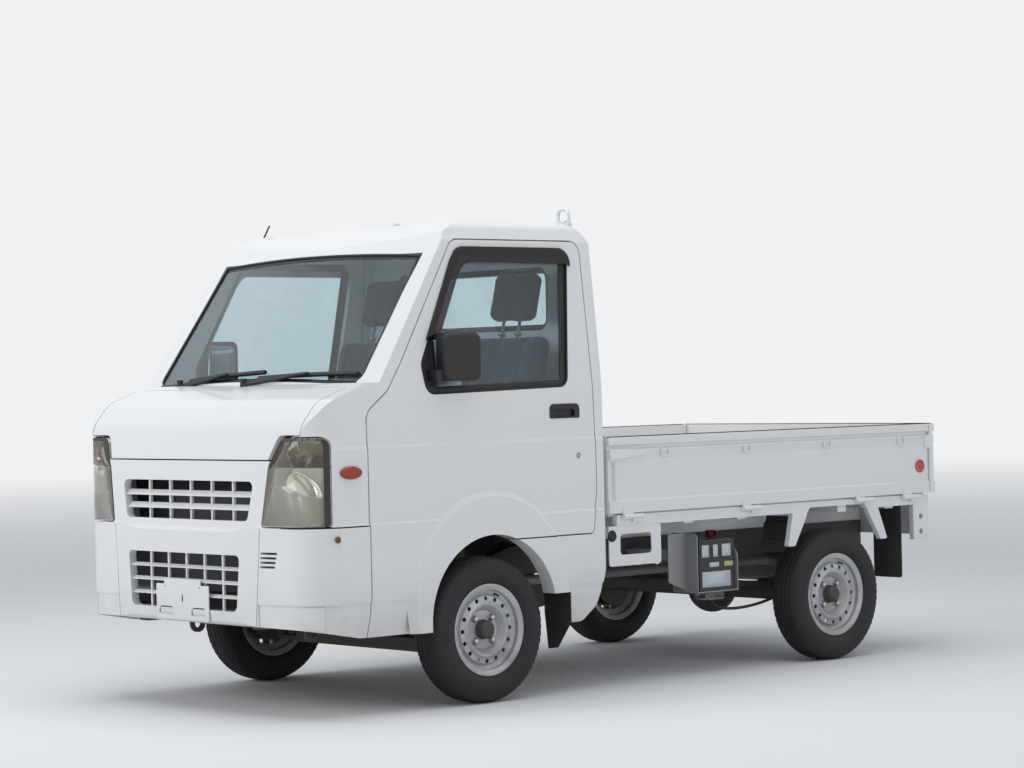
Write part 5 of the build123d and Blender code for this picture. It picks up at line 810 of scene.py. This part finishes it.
# The bumper's wrapped lower corners are one pressing with its face. A thin skin
# in the same enamel closes each of them, from its sloping foot to its top edge.
front_end, corner_top = -1.6979, 0.4075
corner_foot, foot_slope = 0.3305, 0.18
corner_depth = np.array([
    # across, depth behind the front end
    (0.60, 0.0470), (0.63, 0.0583), (0.65, 0.0702), (0.66, 0.0779), (0.67, 0.0869), (0.68, 0.0975), (0.69, 0.1106),
    (0.70, 0.1264), (0.71, 0.1429),
])
x, share = np.meshgrid(np.linspace(0.638, 0.692, 28), np.linspace(0, 1, 10), indexing="ij")
depth = np.interp(x, *corner_depth.T)
foot = corner_foot - foot_slope * (depth - 0.010)
z = foot + share * (corner_top - foot)
for side, name in both_sides:
    points = np.stack([side * x, front_end + depth, z], axis=-1).reshape(-1, 3)
    quads = sheet_faces(*x.shape)[:, ::side]
    skin = mesh_piece("bumper_corner_" + name, points, quads, body_enamel)
    walled(skin, 0.0020)

# A battery lead hangs in a loop below the tray and passes inboard of the rear
# tyre to the axle. It is black cable, 12 mm thick, and a sheet bracket below
# the tray guards its exit.
cable_black = grained("cable_black", (0.010, 0.010, 0.011), 0.60, 500.0, 0.12)
tray_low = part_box("battery_tray")[0]
lip = block((0.650, 0.383, tray_low[2] - 0.015), (0.070, 0.105, 0.034), 0.006)
mesh_piece("tray_bracket", *lip, zinc_sheet)
lead_route = [
    (0.590, 0.430, 0.338), (0.592, 0.433, 0.300), (0.596, 0.456, 0.262), (0.598, 0.515, 0.244),
    (0.596, 0.600, 0.240), (0.590, 0.685, 0.244), (0.575, 0.770, 0.252), (0.545, 0.860, 0.260),
    (0.505, 0.955, 0.268), (0.450, 1.060, 0.272),
]
line = bpy.data.curves.new("battery_lead", "CURVE")
line.dimensions = "3D"
line.bevel_depth = 0.0060
line.bevel_resolution = 5
line.use_fill_caps = True
run = line.splines.new("NURBS")
run.points.add(len(lead_route) - 1)
for point, place in zip(run.points, lead_route):
    point.co = (*place, 1)
run.order_u = 3
run.use_endpoint_u = True
run.resolution_u = 12
line.materials.append(cable_black)
battery_lead = placed("battery_lead", line)
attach(battery_lead, "truck")

# The aerial is a short black rod in a moulded foot that is screwed to the
# right-hand pillar.
rod = tube([(-0.640, -0.8205, 1.742), (-0.640, -0.800, 1.776), (-0.640, -0.775, 1.818)], 0.0035, 12)
foot_shape = [(-0.006, 0.0), (-0.006, 0.016), (0.004, 0.014), (0.014, 0.007), (0.014, 0.0)]
foot = turned(foot_shape, (-0.640, -0.8225, 1.742), (0, 0.4, 0.9), 24)
mesh_piece("aerial", *join_meshes([rod, foot]), black_plastic)

# The battery's case wears blank paper labels, one of them yellow, and its
# positive post has a moulded red cap.
label_paper = grained("label_paper", (0.55, 0.58, 0.62), 0.45, 700.0, 0.05)
label_yellow = grained("label_yellow", (0.50, 0.49, 0.22), 0.45, 700.0, 0.05)
cap_red = grained("cap_red", (0.28, 0.03, 0.025), 0.5, 200.0, 0.15)
upper_face, lower_face = 0.6990, 0.6960
label_table = [
    # letter, y from, to, z from, to, finish
    ("a", 0.2925, 0.3325, 0.4640, 0.5120, label_paper),
    ("b", 0.3560, 0.3830, 0.4640, 0.5120, label_paper),
    ("c", 0.4060, 0.4560, 0.4640, 0.5120, label_paper),
    ("d", 0.3380, 0.3920, 0.4240, 0.4420, label_paper),
    ("e", 0.4220, 0.4720, 0.4240, 0.4430, label_yellow),
    ("f", 0.2960, 0.4560, 0.3450, 0.4060, label_paper),
]
for name, near, far, low, high, paper in label_table:
    face_x = upper_face if low > 0.46 else lower_face
    loop = rounded([(near, low, 0.003), (far, low, 0.003), (far, high, 0.003), (near, high, 0.003)], 3)
    middle = loop.mean(axis=0)
    rings = []
    for share, lift in ((1.0, -0.0004), (1.0, 0.0006), (0.01, 0.0006)):
        flat = middle + (loop - middle) * share
        rings.append(np.insert(flat, 0, face_x + lift, axis=1))
    mesh_piece("battery_label_" + name, *ring_mesh(rings), paper)
cap = block((0.596, 0.4516, 0.5485), (0.034, 0.040, 0.028), 0.005)
mesh_piece("battery_cap", *cap, cap_red)

# The cab floor lies under a grey vinyl mat. The dashboard is moulded in grey
# plastic, with three meters, four vents and two darker panels clipped in, and
# the steering wheel has a black grip.
coat_nodes(grained("floor_vinyl", (0.10, 0.10, 0.105), 0.6, 240.0, 0.25), "cab_floor", "controls")
coat_nodes(grained("dash_plastic", (0.075, 0.08, 0.088), 0.55, 380.0, 0.25), "dashboard")
wheel_grip = grained("wheel_grip", (0.022, 0.022, 0.024), 0.5, 320.0, 0.2)
coat_nodes(wheel_grip, "steering_wheel")
meter_face = grained("meter_face", (0.02, 0.02, 0.022), 0.20, 300.0, 0.03)
meter_shape = [(-0.004, 0.0), (-0.004, 0.032), (0.002, 0.032), (0.002, 0.028), (0.0, 0.026), (0.0, 0.0)]
parts = [turned(meter_shape, (x, -1.2885, 1.142), (0, 0.97, 0.24), 32) for x in (-0.45, -0.37, -0.29)]
mesh_piece("meters", *join_meshes(parts), meter_face)
parts = []
for x in (-0.585, -0.12, 0.12, 0.585):
    for k in range(4):
        parts.append(block((x, -1.2455, 1.020 + 0.013 * k), (0.105, 0.012, 0.004), 0.001))
    parts.append(block((x, -1.2475, 1.040), (0.122, 0.008, 0.066), 0.003))
mesh_piece("dash_vents", *join_meshes(parts), black_plastic)
parts = [
    block((0.0, -1.2445, 0.955), (0.182, 0.012, 0.052), 0.003),
    block((0.40, -1.2500, 0.945), (0.330, 0.010, 0.100), 0.006),
]
mesh_piece("dash_panels", *join_meshes(parts), wheel_grip)

# Seats are foam under dark woven cloth with piping along the edge. Each pad is
# swollen by a short cloth run from a slightly smaller shape, and the right-hand
# seat is the left one moved across.
seat_x, seat_y, seat_z, seat_gap = 0.390, -0.710, 0.744, 0.780
cushion_top, piping_z, post_half = 0.78, 0.790, 0.045
cloth_frames = 20
back_foot = np.array((seat_x, -0.5275, 0.709))
channel_x, channel_depth, channel_half = 0.135, 0.006, 0.005
seat_cloth, tree, shader = finish("seat_cloth", (0.040, 0.048, 0.062), 0.85)
shader.inputs["Sheen Weight"].default_value = 0.25
place = object_place(tree)
warp = add(tree, "TexWave", {"bands_direction": "X"}, Vector=place, Scale=190.0, Distortion=0.4)
weft = add(tree, "TexWave", {"bands_direction": "Z"}, Vector=place, Scale=190.0, Distortion=0.4)
weave = add(tree, "Math", {"operation": "MULTIPLY"}, i0=warp.outputs["Fac"], i1=weft.outputs["Fac"])
bumped(tree, shader, weave, 0.35, 0.001)
fleck = add(tree, "TexNoise", Vector=place, Scale=140.0, Detail=3.0)
two_tone(tree, shader, fleck.outputs["Fac"], (0.028, 0.034, 0.046), (0.060, 0.072, 0.092))
seat_piping = grained("seat_piping", (0.02, 0.022, 0.026), 0.5, 300.0, 0.15)


def pad_shell(place, half, edge, count=26):
    """Closed pad: a grid on a box's six faces, each point p drawn to a rounded box: core + edge * unit(p - core)."""
    half = np.asarray(half, float)
    parts = []
    for axis in range(3):
        for end in (-1, 1):
            one, two = (axis + 1) % 3, (axis + 2) % 3
            a, b = np.meshgrid(np.linspace(-1, 1, count), np.linspace(-1, 1, count), indexing="ij")
            points = np.zeros((count, count, 3))
            points[..., axis] = end
            points[..., one] = a * end
            points[..., two] = b
            points = points * half
            core = np.clip(points, -(half - edge), half - edge)
            out = points - core
            out /= np.maximum(np.linalg.norm(out, axis=-1), 1e-9)[..., None]
            parts.append((place(core + edge * out).reshape(-1, 3), sheet_faces(count, count)))
    return join_meshes(parts)


def mesh_points(mesh):
    """The mesh's points, one row of x, y, z for each."""
    points = np.empty(3 * len(mesh.vertices))
    mesh.vertices.foreach_get("co", points)
    return points.reshape(-1, 3)


def settled(piece):
    """Makes what the piece's modifiers give its own mesh."""
    depsgraph = bpy.context.evaluated_depsgraph_get()
    mesh = bpy.data.meshes.new_from_object(piece.evaluated_get(depsgraph))
    piece.modifiers.clear()
    piece.data = mesh
    return mesh


def swollen(name, points, faces, cap, fill, voxel=0.009):
    """Pad that a cloth run under pressure 4 has swollen, each point moved by no more than the cap."""
    piece = mesh_piece(name, points, faces, body=None)
    shape = bmesh.new()
    shape.from_mesh(piece.data)
    bmesh.ops.remove_doubles(shape, verts=shape.verts, dist=0.0002)
    shape.to_mesh(piece.data)
    shape.free()
    remesh = piece.modifiers.new("remesh", "REMESH")
    remesh.mode = "VOXEL"
    remesh.voxel_size = voxel
    mesh = settled(piece)
    start = mesh_points(mesh)
    cloth = piece.modifiers.new("swell", "CLOTH")
    cloth.settings.use_pressure = True
    cloth.settings.uniform_pressure_force = 4.0
    cloth.settings.effector_weights.gravity = 0.0
    for step in range(1, cloth_frames + 1):
        bpy.context.scene.frame_set(step)
    depsgraph = bpy.context.evaluated_depsgraph_get()
    move = mesh_points(piece.evaluated_get(depsgraph).data) - start
    piece.modifiers.clear()
    bpy.context.scene.frame_set(1)
    reach = np.linalg.norm(move, axis=1)[:, None]
    move = move * np.minimum(1, cap / np.maximum(reach, 1e-9))
    mesh.vertices.foreach_set("co", (start + move).ravel())
    finer = piece.modifiers.new("finer", "SUBSURF")
    finer.levels = 1
    finer.render_levels = 1
    mesh = settled(piece)
    mesh.shade_smooth()
    mesh.materials.append(seat_cloth)
    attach(piece, "truck")
    return piece


def grooved(piece, on_face, axis, stops):
    """Sewn channels: each point goes in along its normal by depth exp(-(d / 5 mm)^2), with d its distance from one.

    Two channels run along the pad, and between them others cross it at the stops on the given axis."""
    mesh = piece.data
    points = mesh_points(mesh)
    normals = np.empty(3 * len(points))
    mesh.vertex_normals.foreach_get("vector", normals)
    across = np.abs(points[:, 0] - seat_x)
    face = on_face(points)
    distances = [np.where(face, np.abs(across - channel_x), 1.0)]
    for stop in stops:
        distances.append(np.where(face & (across < channel_x), np.abs(points[:, axis] - stop), 1.0))
    sunk = channel_depth * np.exp(-(np.min(distances, axis=0) / channel_half) ** 2)
    mesh.vertices.foreach_set("co", (points - normals.reshape(-1, 3) * sunk[:, None]).ravel())
    mesh.update()


def copy_across(piece, name):
    """The other seat's pad: the same mesh, its points moved across by the gap between the seats."""
    twin = placed(name, piece.data.copy())
    twin.data.vertices.foreach_set("co", (mesh_points(twin.data) - (seat_gap, 0, 0)).ravel())
    twin.data.update()
    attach(twin, "truck")


lean = math.radians(14)
back_up = np.array((0, math.sin(lean), math.cos(lean)))
back_out = np.array((0, math.cos(lean), -math.sin(lean)))


def on_back_frame(points, rise):
    """Pad points in the leaning frame of the seat back: across, out to the rear, up from the given rise."""
    base = back_foot - 0.05 * back_out + rise * back_up
    return base + points[..., :1] * (1, 0, 0) + points[..., 1:2] * back_out + points[..., 2:] * back_up


def front_drop(y):
    """The cushion's front edge drops by 18 mm * t^2, with t from 0 to 1 over its last 110 mm."""
    return 0.018 * np.clip((-y - 0.10) / 0.11, 0, 1) ** 2


def on_seat(points):
    """Pad points round the middle of the cushion, less the drop of its front edge."""
    return np.array((seat_x, seat_y, seat_z)) + points - front_drop(points[..., 1:2]) * (0, 0, 1)


def squared(wave):
    """A cosine or sine drawn towards -1 and 1, by the power 0.35 of its size, so that a circle is nearly square."""
    return np.sign(wave) * np.abs(wave) ** 0.35


cushion = swollen("seat_cushion_left", *pad_shell(on_seat, (0.222, 0.2015, 0.083), 0.045), 0.011, 0.85)
grooved(cushion, lambda p: p[:, 2] > cushion_top, 1, (-0.80, -0.70, -0.60))
copy_across(cushion, "seat_cushion_right")
back_shell = pad_shell(lambda p: on_back_frame(p, 0.399), (0.222, 0.040, 0.246), 0.036)
back_pad = swollen("seat_back_left", *back_shell, 0.009, 0.85)
grooved(back_pad, lambda p: (p - back_foot) @ back_out < -0.06, 2, (1.00, 1.14))
copy_across(back_pad, "seat_back_right")
head_shell = pad_shell(lambda p: on_back_frame(p, 0.7975), (0.115, 0.037, 0.094), 0.034, 20)
headrest = swollen("headrest_left", *head_shell, 0.008, 0.9, 0.006)
copy_across(headrest, "headrest_right")
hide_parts("seat_cushions")
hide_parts("seat_backs")
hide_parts("headrests")
turns = np.linspace(0, 2 * math.pi, 60, endpoint=False)
x, y = 0.226 * squared(np.cos(turns)), 0.203 * squared(np.sin(turns))
boot_shape = [(-0.006, 0.0), (-0.006, 0.015), (0.008, 0.014), (0.012, 0.009), (0.012, 0.0)]
for side, name in both_sides:
    parts = []
    for across in (-post_half, post_half):
        base = np.array((side * seat_x + across, *back_foot[1:])) - 0.05 * back_out
        parts.append(tube([base + rise * back_up for rise in (0.632, 0.66, 0.72)], 0.006, 14))
        parts.append(turned(boot_shape, base + 0.652 * back_up, back_up, 24))
    mesh_piece("headrest_posts_" + name, *join_meshes(parts), lock_steel)
    loop = np.stack([side * seat_x + x, seat_y + y, piping_z - front_drop(y)], axis=-1)
    mesh_piece("cushion_piping_" + name, *tube(loop, 0.0042, 8, closed=True), seat_piping)
